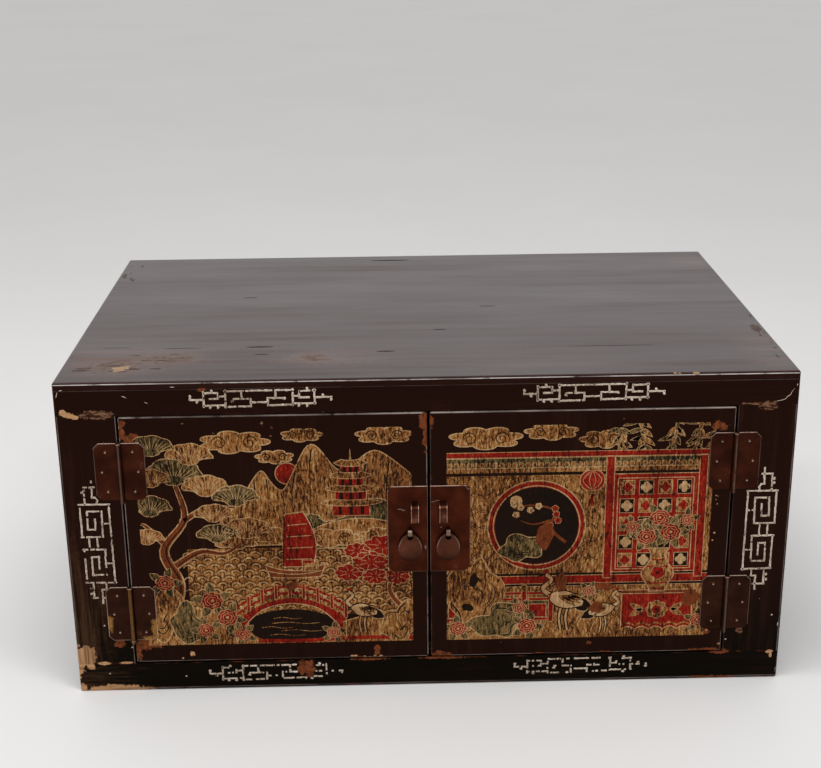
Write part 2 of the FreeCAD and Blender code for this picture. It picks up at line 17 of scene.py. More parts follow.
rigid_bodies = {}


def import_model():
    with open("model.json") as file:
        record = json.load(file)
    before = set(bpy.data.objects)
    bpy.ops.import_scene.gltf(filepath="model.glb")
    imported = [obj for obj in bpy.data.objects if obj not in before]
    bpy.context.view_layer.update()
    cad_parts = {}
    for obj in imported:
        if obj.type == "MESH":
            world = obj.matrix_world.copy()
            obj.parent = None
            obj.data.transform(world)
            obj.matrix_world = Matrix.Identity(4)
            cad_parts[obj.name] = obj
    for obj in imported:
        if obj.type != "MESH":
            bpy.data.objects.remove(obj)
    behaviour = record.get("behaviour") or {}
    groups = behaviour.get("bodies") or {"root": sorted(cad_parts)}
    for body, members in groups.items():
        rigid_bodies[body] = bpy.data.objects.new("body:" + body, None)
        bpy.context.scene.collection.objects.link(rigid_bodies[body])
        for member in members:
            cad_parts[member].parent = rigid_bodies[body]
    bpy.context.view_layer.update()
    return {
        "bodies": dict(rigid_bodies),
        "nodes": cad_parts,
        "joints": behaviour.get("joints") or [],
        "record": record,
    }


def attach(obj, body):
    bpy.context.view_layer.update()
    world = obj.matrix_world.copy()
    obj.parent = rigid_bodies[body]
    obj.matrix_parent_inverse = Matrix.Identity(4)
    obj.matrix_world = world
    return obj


Point2 = tuple[float, float]
Point3 = tuple[float, float, float]
Row = tuple[float, float, float, float]
Colour = tuple[float, float, float]
Array = np.ndarray
Spot = Point2 | Array
Line = Sequence[Point2] | Array
Swell = Callable[[Array], Array]
Socket = bpy.types.NodeSocket

MM = 0.001
SLANT = 0.5**0.5
FRONT_FACE, REAR_FACE, HALF_WIDTH, TOP_FACE = -295, 295, 450, 420
PLATE_FACE = -296.5
# Lower and upper edge of the door opening, and half of its width.
OPENING_LOW, OPENING_HIGH, OPENING_HALF = 39, 377, 377
# Heights in metres: where painted shade darkens the front towards the floor, and the skin of the top.
LOW_SHADE = (0.17, 0.03)
TOP_SKIN = (0.419, 0.4198)
# Distance, in radii, that stands for no worn spot at all.
FAR = 9
SIDES = {"left": -1, "right": 1}
DEEP_SHADE = (0.002, 0.0015, 0.001)
log = logging.getLogger("cabinet")


def srgb(red: int, green: int, blue: int) -> Colour:
    """Linear colour of a display colour: the sRGB curve undone on each of its three parts of 255."""
    parts = np.array([red, green, blue]) / 255
    return tuple(np.where(parts > 0.04045, ((parts + 0.055) / 1.055) ** 2.4, parts / 12.92))


def both(*parts: str) -> list[str]:
    """Names of the left and the right node of each part."""
    return [f"{side}_{part}" for side in SIDES for part in parts]


class Axis(Enum):
    """Coordinate that an edge is measured along: SIDE is the distance from the middle, RISE and FALL run aslant."""

    SIDE = "side"
    DEPTH = "y"
    HEIGHT = "z"
    RISE = "rise"
    FALL = "fall"


SIDE, DEPTH, HEIGHT, RISE, FALL = Axis


class Grain(Enum):
    """Way that the grain of a board runs, as 1 on its axis."""

    WIDTHWISE = (1, 0, 0)
    DEPTHWISE = (0, 1, 0)
    UPRIGHT = (0, 0, 1)


def operator(operation: str) -> Callable[["Signal", "Value"], "Signal"]:
    """Operator that adds the node of an arithmetic operation on two values."""
    return lambda a, b: a.graph.maths(operation, a, b)


class Signal:
    """Value in a node tree; its arithmetic adds nodes: +, - and * as usual, and | for the larger of two."""

    __add__, __sub__, __mul__, __or__ = map(operator, ("ADD", "SUBTRACT", "MULTIPLY", "MAXIMUM"))

    def __init__(self, graph: "Graph", socket: Socket) -> None:
        """Keeps the tree and the socket that the value comes from."""
        self.graph, self.socket = graph, socket

    def __rsub__(self, other: float) -> "Signal":
        """A number less this value."""
        return self.graph.maths("SUBTRACT", other, self)


Value = float | Colour | Signal


class Graph:
    """Node tree of one material, with short calls for the nodes that the finishes share."""

    def __init__(self, name: str) -> None:
        """Starts the material with its shader and the coordinates of the shared frame.

        Args:
            name: name of the material.
        """
        self.material = bpy.data.materials.new(name)
        self.material.use_nodes = True
        self.tree = self.material.node_tree
        self.shader = self.tree.nodes["Principled BSDF"]
        self.place = Signal(self, self.add("TexCoord", {}).outputs["Object"])
        x, self.y, self.z = (Signal(self, part) for part in self.add("SeparateXYZ", {0: self.place}).outputs)
        self.side = self.maths("ABSOLUTE", x)
        self.rise = (self.side + self.z) * SLANT
        self.fall = (self.side - self.z) * SLANT

    def feed(self, socket: Socket, value: Value) -> None:
        """Links a socket to a value of the tree, or sets it to a number, a vector or a colour.

        Args:
            socket: input of a node.
            value: what goes into it.
        """
        if isinstance(value, Signal):
            self.tree.links.new(value.socket, socket)
        else:
            socket.default_value = (*value, 1) if socket.type == "RGBA" else value

    def add(self, kind: str, feeds: dict[str | int, Value], **options: str) -> bpy.types.Node:
        """Adds a node, sets its options and feeds its inputs.

        Args:
            kind: end of the node type's name.
            feeds: values by the names or numbers of the inputs.
            options: settings of the node.

        Returns:
            The node.
        """
        node = self.tree.nodes.new(f"ShaderNode{kind}")
        for name, option in options.items():
            setattr(node, name, option)
        for key, value in feeds.items():
            self.feed(node.inputs[key], value)
        return node

    def maths(self, operation: str, a: Value, b: Value = 0) -> Signal:
        """Result of one arithmetic operation on two values."""
        return Signal(self, self.add("Math", {0: a, 1: b}, operation=operation).outputs[0])

    def vector(self, operation: str, a: Value, b: Sequence[float] = (0, 0, 0)) -> Signal:
        """Result of one operation on two vectors; a length is a number."""
        node = self.add("VectorMath", {0: a, 1: b}, operation=operation)
        return Signal(self, node.outputs["Value" if operation == "LENGTH" else "Vector"])

    def noise(
        self, waves: float | Point3, detail: float = 3, rough: float = 0.55, shift: float = 0, warp: float = 0
    ) -> Signal:
        """Soft noise with its own number of waves per metre along each axis.

        Args:
            waves: waves per metre along X, Y and Z, or one number for all three.
            detail: octaves of finer noise on it.
            rough: share of each octave that the next one keeps.
            shift: distance by which the noise is moved, so that two of one scale differ.
            warp: how far the noise is bent by itself.

        Returns:
            A value about 0.5.
        """
        spread = self.vector("MULTIPLY", self.place, np.broadcast_to(waves, 3).tolist())
        moved = self.vector("ADD", spread, (shift, 0.7 * shift, 1.3 * shift))
        feeds = {"Vector": moved, "Scale": 1, "Detail": detail, "Roughness": rough, "Distortion": warp}
        return Signal(self, self.add("TexNoise", feeds).outputs[0])

    def specks(self, per_metre: float, radius: float, share: float) -> Signal:
        """Round specks, one in some cells of a random cell pattern.

        Args:
            per_metre: cells per metre.
            radius: radius of a speck in cells.
            share: share of the cells that have one.

        Returns:
            1 in a speck, 0 elsewhere.
        """
        cells = self.add("TexVoronoi", {"Vector": self.place, "Scale": per_metre}).outputs
        chance = self.add("SeparateColor", {0: Signal(self, cells["Color"])}).outputs[0]
        near = self.ramp(Signal(self, cells["Distance"]), radius, 0.6 * radius)
        return near * self.maths("LESS_THAN", Signal(self, chance), share)

    def ramp(self, value: Value, low: float, high: float) -> Signal:
        """Smooth step of a value from 0 at low to 1 at high."""
        feeds = dict(enumerate((value, low, high, 0, 1)))
        return Signal(self, self.add("MapRange", feeds, interpolation_type="SMOOTHSTEP").outputs[0])

    def mix(self, share: Value, a: Value, b: Value) -> Signal:
        """Colour a, with b over it by a share."""
        return Signal(self, self.add("Mix", {0: share, 6: a, 7: b}, data_type="RGBA").outputs[2])

    def layers(self, colour: Value, *coats: tuple[Value, Value]) -> Value:
        """Colour with others over it in order.

        Args:
            colour: undermost colour.
            coats: share and colour of each coat.

        Returns:
            The colour that shows.
        """
        for share, coat in coats:
            colour = self.mix(share, colour, coat)
        return colour

    def apart(self, axis: Axis, at: float) -> Signal:
        """Distance from the plane at a coordinate in millimetres along an axis."""
        return self.maths("ABSOLUTE", getattr(self, axis.value) - at * MM)

    def bump(self, height: Signal, depth: float) -> None:
        """Raises the surface by a height from 0 to 1, times a depth in metres."""
        node = self.add("Bump", {"Height": height, "Distance": depth})
        self.feed(self.shader.inputs["Normal"], Signal(self, node.outputs[0]))

    def finish(self, **inputs: Value) -> None:
        """Feeds the shader's inputs, named with _ for a blank."""
        for name, value in inputs.items():
            self.feed(self.shader.inputs[name.replace("_", " ")], value)


Plane = tuple[Axis, float]
EdgeRow = tuple[Axis, float, float] | tuple[Axis, float, float, float]
FACE: Plane = (DEPTH, FRONT_FACE)
REAR: Plane = (DEPTH, REAR_FACE)
FLANK: Plane = (SIDE, HALF_WIDTH)


@dataclass(frozen=True)
class Edge:
    """Straight edge of a piece: the plane that it lies in and, where one is needed, a second plane."""

    axis: Axis
    at: float
    reach: float
    meets: Plane | None = None
    strength: float = 1

    def nearness(self, graph: Graph) -> Signal:
        """Its strength on the edge, falling to 0 at its reach: the larger distance from its planes, turned round.

        Args:
            graph: its node tree.

        Returns:
            The strength.
        """
        away = graph.apart(self.axis, self.at)
        if self.meets is not None:
            away = away | graph.apart(*self.meets)
        return graph.ramp(away, self.reach * MM, 0) * self.strength


Edges = tuple[Edge, ...]


def edges_on(meets: Plane | None, *rows: EdgeRow) -> Edges:
    """Edges of one second plane, or none, from rows of axis, place, reach and, if it isn't 1, strength."""
    return tuple(Edge(axis, at, reach, meets, *strength) for axis, at, reach, *strength in rows)


class Loss(Enum):
    """What shows in a worn spot."""

    BARE = "bare wood"
    RUBBED = "red-brown ground"
    SCRAPED = "scraped coat"
    FADED = "thin coat"
    STAINED = "brown stain"
    CRACK = "dark crack"


BARE, RUBBED, SCRAPED, FADED, STAINED, CRACK = Loss


@dataclass(frozen=True)
class Chip:
    """Worn spot of a finish: an uneven ellipsoid about a point of the surface."""

    loss: Loss
    centre: Point3
    radii: Point3

    def distance(self, graph: Graph) -> Signal:
        """Distance from its centre, 1 on its rim: the length of the way from the centre over the radii."""
        centre, radii = (tuple(MM * v for v in row) for row in (self.centre, self.radii))
        return graph.vector("LENGTH", graph.vector("DIVIDE", graph.vector("SUBTRACT", graph.place, centre), radii))


Chips = tuple[Chip, ...]


def spots(loss: Loss, *rows: Sequence[float]) -> Chips:
    """Worn spots of one kind from rows of six numbers: the three of the centre, then the three radii."""
    return tuple(Chip(loss, tuple(row[:3]), tuple(row[3:])) for row in rows)


def front_spots(loss: Loss, deep: float, *rows: Row, face: float = FRONT_FACE) -> Chips:
    """Worn spots of a front face, of one depth, from rows of X, Z and the radii along both."""
    return spots(loss, *((x, face, z, wide, deep, tall) for x, z, wide, tall in rows))


def top_spots(loss: Loss, deep: float, *rows: Row) -> Chips:
    """Worn spots of the top, of one depth, from rows of X, Y and the radii along both."""
    return spots(loss, *((x, y, TOP_FACE, wide, long, deep) for x, y, wide, long in rows))


def cluster(loss: Loss, centre: Point3, spread: Point3, radii: Point3, count: int, seed: int) -> Chips:
    """Group of worn spots at random places about a point, half to one and a half times as large as the radii.

    Args:
        loss: what shows in them.
        centre: middle of the group.
        spread: furthest way from the middle along each axis.
        radii: middle radii of a spot.
        count: number of spots.
        seed: start of the random numbers.

    Returns:
        The spots.
    """
    rng = np.random.default_rng(seed)
    places = np.array(centre) + rng.uniform(-1, 1, (count, 3)) * spread
    sizes = np.array(radii) * rng.uniform(0.5, 1.5, (count, 1))
    return spots(loss, *np.hstack([places, sizes]).tolist())


def spot_distance(graph: Graph, chips: Iterable[Chip], loss: Loss, ragged: float = 2.2) -> Signal:
    """Distance to the nearest worn spot of one kind, 1 at its rim, roughened by noise.

    Args:
        graph: its node tree.
        chips: worn spots of the finish.
        loss: kind of spot.
        ragged: strength of the noise.

    Returns:
        The distance.
    """
    nearest: Value = FAR
    for chip in chips:
        if chip.loss is loss:
            nearest = graph.maths("MINIMUM", nearest, chip.distance(graph))
    return (graph.noise(150, 6, 0.74) - 0.5) * ragged + nearest


def along_edges(graph: Graph, edges: Iterable[Edge], low: float, high: float, shift: float) -> Signal:
    """Share of wear, seams, painted highlights and painted shade along edges: highest on an edge, and broken up by
    noise.

    Args:
        graph: its node tree.
        edges: edges that carry the mark.
        low: noise at which the mark begins.
        high: noise at which it is full.
        shift: distance by which the noise is moved.

    Returns:
        The share.
    """
    total: Value = 0
    for edge in edges:
        total = edge.nearness(graph) | total
    return graph.ramp(graph.noise(55, 4, 0.65, shift), low, high) * total


@dataclass(frozen=True)
class Inside:
    """Box of the unlacquered inside."""

    half_width: float
    front: float
    back: float
    top: float

    def holds(self, graph: Graph) -> Signal:
        """1 within the box and 0 outside it: the product of a test at each of its limits.

        Args:
            graph: its node tree.

        Returns:
            The share.
        """
        within = graph.maths("GREATER_THAN", graph.y, self.front * MM)
        for along, limit in ((graph.y, self.back), (graph.side, self.half_width), (graph.z, self.top)):
            within = within * graph.maths("LESS_THAN", along, limit * MM)
        return within


class Finish:
    """What a surface is made of; each kind shades a node tree in its own way."""

    def shade(self, graph: Graph) -> None:
        """Feeds the shader of a material."""
        raise NotImplementedError

    def material(self, name: str) -> bpy.types.Material:
        """New material of this finish.

        Args:
            name: name of the material.

        Returns:
            The material.
        """
        graph = Graph(name)
        self.shade(graph)
        return graph.material


@dataclass(frozen=True)
class Wood(Finish):
    """Old unpolished softwood with its grain along one axis."""

    along: Grain = Grain.WIDTHWISE
    seams: Edges = ()
    shift: float = 0
    light: Colour = srgb(142, 106, 72)
    dark: Colour = srgb(92, 63, 41)
    grime: Colour = srgb(52, 38, 29)
    ring_count: float = 38

    def noise(self, graph: Graph, lengthwise: float, across: float, detail: float = 5, rough: float = 0.62) -> Signal:
        """Noise that is drawn out along the grain."""
        waves = tuple(lengthwise if along else across for along in self.along.value)
        return graph.noise(waves, detail, rough, self.shift)

    def colour(self, graph: Graph) -> Value:
        """Year rings as level lines of a drawn-out noise that darken slowly to a rim, with pores, grime and dark seams.

        Args:
            graph: its node tree.

        Returns:
            The colour.
        """
        ring = graph.maths("FRACT", self.noise(graph, 0.5, 6, 3, 0.45) * self.ring_count)
        rings = graph.ramp(ring, 0.1, 0.86) * graph.ramp(ring, 1, 0.86)
        late = rings * 0.36 + self.noise(graph, 5, 340) * 0.95
        pores = graph.ramp(self.noise(graph, 22, 700, 2, 0.5), 0.57, 0.68)
        dirty = graph.ramp(self.noise(graph, 3, 9, 6, 0.68), 0.46, 0.82)
        return graph.layers(
            self.light,
            (graph.ramp(late, 0.36, 0.96), self.dark),
            (pores * 0.5, self.grime),
            (dirty * 0.55, self.grime),
            (along_edges(graph, self.seams, 0.15, 0.35, 3), DEEP_SHADE),
        )

    def shade(self, graph: Graph) -> None:
        """Bare board, with a fine relief along the grain."""
        graph.bump(self.noise(graph, 12, 420, 3), 0.0004)
        graph.finish(Base_Color=self.colour(graph), Roughness=0.78, Specular_IOR_Level=0.2)


@dataclass(frozen=True)
class Lacquer(Finish):
    """Aged dark lacquer over wood: uneven coat, rubbed edges, specks, scratches, chips, painted highlights, painted
    shade.
    """

    inside: Inside
    coat: Colour = srgb(24, 7, 4)
    thin: Colour = srgb(54, 28, 18)
    faded: Colour = srgb(76, 52, 34)
    rubbed: Colour = srgb(124, 63, 33)
    scraped: Colour = srgb(132, 96, 72)
    stained: Colour = srgb(86, 63, 49)
    chipped: Colour = srgb(200, 152, 110)
    speck: Colour = srgb(150, 138, 124)
    # Colour of the painted highlight lines along the bright edges.
    gleam: Colour = srgb(214, 196, 184)
    tint: Colour = (1, 0.5, 0.36)
    gloss: float = 0.3
    shine: float = 0.1
    # Coat colour and reflection tint of the painted shade towards the floor.
    shaded_low_coat: Colour | None = None
    shaded_low_tint: Colour | None = None
    top_tint: Colour | None = None
    swell: float = 0.6
    patch: float | Point3 = 7
    streak: float = 0.5
    grain: Point3 = (6, 90, 90)
    edges: Edges = ()
    # Edges that carry a painted highlight line.
    painted_highlight_edges: Edges = ()
    seams: Edges = ()
    chips: Chips = ()
    wood: Wood = Wood()

    def wear(self, graph: Graph, colour: Value, streaks: Signal) -> tuple[Value, Signal, Signal]:
        """Puts the worn spots of each kind over the coat's colour.

        Args:
            graph: its node tree.
            colour: colour of the coat.
            streaks: noise along the grain.

        Returns:
            The colour, the share of chips and cracks, and the share of anything worn.
        """
        fade = graph.ramp(spot_distance(graph, self.chips, FADED), 1.3, 0.2)
        stain = graph.ramp(spot_distance(graph, self.chips, STAINED, 1.4), 1.15, 0.3)
        stain = stain * graph.ramp(graph.noise(80, 6, 0.7, 6), 0.36, 0.56)
        scrape = graph.ramp(spot_distance(graph, self.chips, SCRAPED), 1, 0.85)
        lines = graph.ramp(graph.noise((120, 240, 420), 3, 0.6, 2, 1), 0.42, 0.6)
        rub = graph.ramp(spot_distance(graph, self.chips, RUBBED, 3), 1, 0.92)
        patchy = graph.ramp(graph.noise((190, 190, 140), 5, 0.7, 4), 0.3, 0.58)
        flecks = graph.ramp(graph.noise((520, 520, 380), 3, 0.65, 8), 0.54, 0.68)
        bare = spot_distance(graph, self.chips, BARE)
        chip = graph.ramp(bare, 1, 0.94)
        crack = graph.ramp(spot_distance(graph, self.chips, CRACK, 0.8), 1, 0.8)
        colour = graph.layers(
            colour,
            (fade * (graph.ramp(streaks, 0.4, 0.66) * 0.75), self.faded),
            (stain, self.stained),
            (scrape, graph.mix(lines, self.thin, self.scraped)),
            (rub, graph.mix(flecks * 0.7, graph.mix(patchy, self.thin, self.rubbed), self.scraped)),
            (graph.ramp(bare, 1.2, 1.02), self.thin),
            (chip, graph.mix(graph.ramp(streaks, 0.42, 0.8), self.chipped, self.wood.dark)),
            (crack, DEEP_SHADE),
        )
        return colour, chip | crack, chip | rub | scrape | crack | stain * 0.8

    def shade(self, graph: Graph) -> None:
        """Streaked coat of uneven gloss with painted shade, rubbed edges, painted highlights, specks, seams, worn
        spots; bare wood inside.

        Args:
            graph: its node tree.
        """
        cloud = graph.noise(self.patch, 5, 0.6)
        fine = graph.noise(tuple(4.5 * v for v in self.grain), 3, 0.6, 1)
        streaks = graph.noise(self.grain, 6, 0.62) + fine * 0.3 - 0.15
        worn = graph.ramp(streaks, 0.42, 0.78) * graph.ramp(cloud, 0.35, 0.7)
        # Painted shade: the coat, and the reflection's tint where one is given, darken towards the floor.
        low = graph.ramp(graph.z, *LOW_SHADE)
        slow = graph.ramp(graph.noise(9, 3, 0.6, 11), 0.36, 0.6)
        # Painted highlight lines along the bright edges, broken up by noise.
        painted_highlight = along_edges(graph, self.painted_highlight_edges, 0.22, 0.5, 7) * (slow * 0.7 + 0.3)
        seam = along_edges(graph, self.seams, 0.2, 0.42, 3)
        coat = graph.layers(
            self.coat,
            (low, self.shaded_low_coat or self.coat),
            (worn * self.streak, self.thin),
            (along_edges(graph, self.edges, 0.52, 0.7, 0), self.rubbed),
            (painted_highlight * 0.95, self.gleam),
            (graph.specks(55, 0.04, 0.12) * 0.8, self.speck),
            (seam * 0.9, DEEP_SHADE),
        )
        colour, hollow, matt = self.wear(graph, coat, streaks)
        within = self.inside.holds(graph)
        colour = graph.mix(within, colour, self.wood.colour(graph))
        matt = matt | within
        rough = ((cloud * 0.25 + (self.gloss - 0.1)) | matt * 0.75) + worn * 0.12
        graph.bump(cloud + streaks * 0.35 - hollow * 0.8, self.swell * MM)
        tint: Value = self.tint
        if self.shaded_low_tint is not None:
            tint = graph.mix(low, self.tint, self.shaded_low_tint)
        if self.top_tint is not None:
            level = graph.ramp(graph.z, *TOP_SKIN) * (1 - (hollow | matt * 0.35))
            dull = graph.ramp(streaks, 0.4, 0.72) * 0.3 | seam * 0.8
            tint = graph.mix(level, self.tint, graph.mix(dull, self.top_tint, self.tint))
        graph.finish(Base_Color=colour, Roughness=rough, Specular_IOR_Level=self.shine, Specular_Tint=tint)


@dataclass(frozen=True)
class Copper(Finish):
    """Copper alloy with a dark reddish-brown patina, rubbed bright in places, with painted highlights on its rims and
    painted shade on some edges.
    """

    patina: Colour = srgb(78, 34, 20)
    deep: Colour = srgb(58, 25, 15)
    bright: Colour = srgb(128, 82, 58)
    brass: Colour = srgb(156, 120, 64)
    # Colour of the painted highlights on rims and shoulders, and of the pale scratches.
    gleam: Colour = srgb(206, 178, 160)
    # Colour of the painted shade along the shaded edges.
    painted_shade: Colour = srgb(24, 12, 8)
    rub: float = 0
    # Edges that carry a painted highlight.
    highlight_rims: Edges = ()
    bare: Edges = ()
    # Edges towards which the painted shade darkens.
    painted_shade_edges: Edges = ()
    chips: Chips = ()
    shoulder_highlights: Chips = ()
    # Heights in metres between which the painted highlight of a shoulder comes and goes.
    shoulder_start: Point2 = (0.193, 0.207)
    shoulder_end: Point2 = (0.216, 0.211)

    def shade(self, graph: Graph) -> None:
        """Two brown tones in soft patches, with painted shade, painted highlights on rims and shoulders, scratches and
        rubs.

        Args:
            graph: its node tree.
        """
        cloud = graph.noise(45, 4, 0.55)
        fine = graph.noise((600, 600, 260), 3, 0.6)
        worn = graph.ramp(fine * 0.4 + cloud, 0.86 - self.rub, 1.16 - self.rub)
        spot = graph.ramp(spot_distance(graph, self.chips, RUBBED), 1.2, 0.45)
        spot = spot | along_edges(graph, self.bare, 0.2, 0.4, 2)
        # Pale scratches, and painted highlights along the rims.
        lines = graph.ramp(spot_distance(graph, self.chips, SCRAPED, 1.6), 1, 0.6) * 0.4
        lines = lines | along_edges(graph, self.highlight_rims, 0.22, 0.5, 7)
        # Painted highlight: a thin ring on the outline of each shoulder ellipsoid, kept to its upper part.
        if self.shoulder_highlights:
            away = spot_distance(graph, self.shoulder_highlights, RUBBED, 0.12)
            rim = graph.ramp(away, 0.87, 0.94) * graph.ramp(away, 1.06, 0.97)
            rim = rim * (graph.ramp(graph.z, *self.shoulder_start) * graph.ramp(graph.z, *self.shoulder_end))
            lines = lines | rim * 0.5
        colour = graph.layers(
            self.deep,
            (graph.ramp(cloud, 0.3, 0.72), self.patina),
            (worn, self.bright),
            (spot, graph.mix(graph.ramp(fine, 0.35, 0.65), self.bright, self.brass)),
            (along_edges(graph, self.painted_shade_edges, 0, 0.3, 4), self.painted_shade),
            (lines * 0.85, self.gleam),
        )
        graph.bump(cloud + fine * 0.3, 0.0002)
        graph.finish(Base_Color=colour, Roughness=0.6 - cloud * 0.3, Metallic=1)


class Paint(Enum):
    """Colours of the painted layers."""

    GILT = "gilt"
    PALE = "pale_gilt"
    RED = "red"
    GREEN = "green"
    INK = "ink"
    WORN = "worn"


GILT, PALE, RED, GREEN, INK, WORN = Paint


@dataclass(frozen=True)
class PaintCoat(Finish):
    """Old brushed paint: two tones in patches, with short dark and pale upright flecks where it has worn."""

    body: Colour
    second: Colour
    fleck: Colour
    pale: Colour
    cover: float
    slot: str

    def shade(self, graph: Graph) -> None:
        """Patches of two tones under flecks; those of all paints come from one noise, so that wear runs on.

        Args:
            graph: its node tree.
        """
        cloud = graph.noise(22, 4, 0.6)
        upright = graph.noise((380, 380, 105), 3, 0.66, 0, 0.6)
        fine = graph.noise((760, 760, 420), 2, 0.6, 5)
        cut = upright + (cloud - 0.5) * 0.36 + (fine - 0.5) * 0.3
        flecks = graph.ramp(cut, self.cover, self.cover + 0.06)
        colour = graph.layers(
            self.body,
            (graph.ramp(cloud, 0.38, 0.66), self.second),
            (graph.ramp(cut, 0.46, 0.36), self.pale),
            (flecks, self.fleck),
        )
        graph.bump(upright - flecks, 0.0002)
        rough = upright * 0.3 + 0.42
        graph.finish(Base_Color=colour, Roughness=rough, Specular_IOR_Level=0.1, Specular_Tint=(1, 0.7, 0.5))


def paint_coat(cover: float, slot: str, *tones: tuple[int, int, int]) -> PaintCoat:
    """Coat of paint from its cover, its slot and its four display colours."""
    return PaintCoat(*(srgb(*tone) for tone in tones), cover, slot)


PAINTS = {
    GILT: paint_coat(0.535, "gilt_paint", (148, 96, 49), (121, 73, 35), (48, 25, 13), (186, 143, 92)),
    PALE: paint_coat(0.6, "gilt_paint", (182, 143, 99), (160, 118, 76), (78, 47, 27), (202, 168, 126)),
    RED: paint_coat(0.58, "red_paint", (138, 20, 11), (113, 16, 9), (52, 11, 8), (158, 56, 32)),
    GREEN: paint_coat(0.52, "green_paint", (92, 75, 43), (70, 59, 34), (26, 18, 10), (140, 108, 66)),
    INK: paint_coat(0.66, "black_lacquer", (18, 9, 6), (24, 11, 8), (36, 20, 14), (30, 16, 11)),
    WORN: paint_coat(0.6, "bare_wood", (113, 53, 25), (95, 43, 20), (58, 27, 15), (132, 70, 37)),
}
FRET_COAT = paint_coat(0.6, "fret_paint", (206, 187, 168), (178, 157, 138), (66, 46, 37), (224, 209, 194))


@dataclass(frozen=True)
class FloorPaint(Finish):
    """Pale matt floor with a faint cloudy tone."""

    tone: Colour = srgb(246, 245, 244)
    second: Colour = srgb(238, 237, 236)

    def shade(self, graph: Graph) -> None:
        """Two pale tones in very large patches."""
        tone = graph.mix(graph.noise(1.3), self.tone, self.second)
        graph.finish(Base_Color=tone, Roughness=0.85, Specular_IOR_Level=0.1)


def shares(count: int, rim: float) -> Array:
    """Steps from 0 to 1 with a narrow step at each end: an even row of count between rim and 1 - rim."""
    return np.concatenate([[0], np.linspace(rim, 1 - rim, count), [1]])


def pairs(x: Array | float, z: Array | float) -> Array:
    """Points from their two coordinates, either of which may be one number for all."""
    return np.stack(np.broadcast_arrays(x, z), axis=-1)


def around(angle: Array | float, radii: float | Spot = 1) -> Array:
    """Points of an ellipse about the origin: the cosine and the sine of each angle times the radii."""
    return pairs(np.cos(angle), np.sin(angle)) * radii


def curve(points: Line, count: int) -> Array:
    """Smooth path through points: cubic pieces whose slope at a point is half the chord of its neighbours.

    Args:
        points: points that the path goes through.
        count: number of samples.

    Returns:
        The samples, one row each.
    """
    knots = np.asarray(points, float)
    slope = np.gradient(knots, axis=0)
    t = np.linspace(0, len(knots) - 1, count)
    i = np.minimum(t.astype(int), len(knots) - 2)
    s = (t - i)[:, None]
    rise = s * s * (3 - 2 * s)
    ease = s * (1 - s)
    return knots[i] * (1 - rise) + knots[i + 1] * rise + ease * ((1 - s) * slope[i] - s * slope[i + 1])


def ribbon(path: Array, width: Array | float, closed: bool = False) -> Array:
    """Grid across a path: each row is the path moved along its normal by a share of the width.

    Args:
        path: samples of the path.
        width: width at each sample, or everywhere.
        closed: whether the path is a loop, without its first sample again at its end.

    Returns:
        Four rows of points; the outer two are the rims.
    """
    chord = np.roll(path, -1, 0) - np.roll(path, 1, 0) if closed else np.gradient(path, axis=0)
    along = chord / np.maximum(np.linalg.norm(chord, axis=1, keepdims=True), 1e-9)
    normal = pairs(-along[:, 1], along[:, 0])
    across = np.array([-0.5, -0.42, 0.42, 0.5])[:, None, None]
    return path[None] + across * np.broadcast_to(width, len(path))[None, :, None] * normal[None]


def band(low: Array, high: Array, rows: int, rim: float) -> Array:
    """Grid between two paths of equal length: each point is a share of the way from one to the other."""
    share = shares(rows, rim)[:, None, None]
    return low[None] * (1 - share) + high[None] * share


def blob(centre: Spot, radii: float | Point2, count: int, swell: Swell | None = None) -> Array:
    """Grid over a rounded shape: a square grid bent into a disc, then scaled by its radii and by its swell.

    Args:
        centre: middle of the shape.
        radii: half of its width and height, or one number for both.
        count: inner rows and columns.
        swell: factor of the radius by angle, or none for an ellipse.

    Returns:
        The grid; its border is the outline.
    """
    u, v = np.meshgrid(2 * shares(count, 0.02) - 1, 2 * shares(count, 0.02) - 1)
    x, z = u * np.sqrt(1 - v * v / 2), v * np.sqrt(1 - u * u / 2)
    factor = 1 if swell is None else swell(np.arctan2(z, x))
    wide, tall = np.broadcast_to(radii, 2)
    return pairs(centre[0] + wide * factor * x, centre[1] + tall * factor * z)


def border(grid: Array) -> Array:
    """Outline of a grid as a loop: its first row, last column, last row back and first column back."""
    return np.concatenate([grid[0, :-1], grid[:-1, -1], grid[-1, :0:-1], grid[:0:-1, 0]])


def cells(index: Array) -> Array:
    """Four point numbers of each cell of a grid of point numbers."""
    return np.stack([index[:-1, :-1], index[:-1, 1:], index[1:, 1:], index[1:, :-1]], axis=-1).reshape(-1, 4)


def waver(rng: np.random.Generator, count: int, size: float) -> Array:
    """Smooth random values about 0: random knots every few samples, joined by a cosine.

    Args:
        rng: source of the knots.
        count: number of values.
        size: furthest that a value is off 0.

    Returns:
        The values.
    """
    knots = rng.uniform(-size, size, count // 4 + 3)
    t = np.linspace(0, len(knots) - 1.001, count)
    i = t.astype(int)
    ease = 0.5 - 0.5 * np.cos(np.pi * (t - i))
    return knots[i] * (1 - ease) + knots[i + 1] * ease


def runs(kept: Array) -> list[tuple[int, int]]:
    """First and past-the-last numbers of the unbroken stretches, of three samples or more, in a row of flags."""
    steps = np.flatnonzero(np.diff(np.concatenate([[False], kept, [False]]).astype(int)))
    return [(a, b) for a, b in zip(steps[::2], steps[1::2]) if b - a > 2]


def lobes(count: int, depth: float, turn: float = 0) -> Swell:
    """Swell of a lobed outline: 1 at the lobes' tips, less by depth between them."""
    return lambda angle: 1 - depth + depth * np.abs(np.cos(0.5 * count * (angle - turn))) ** 0.7


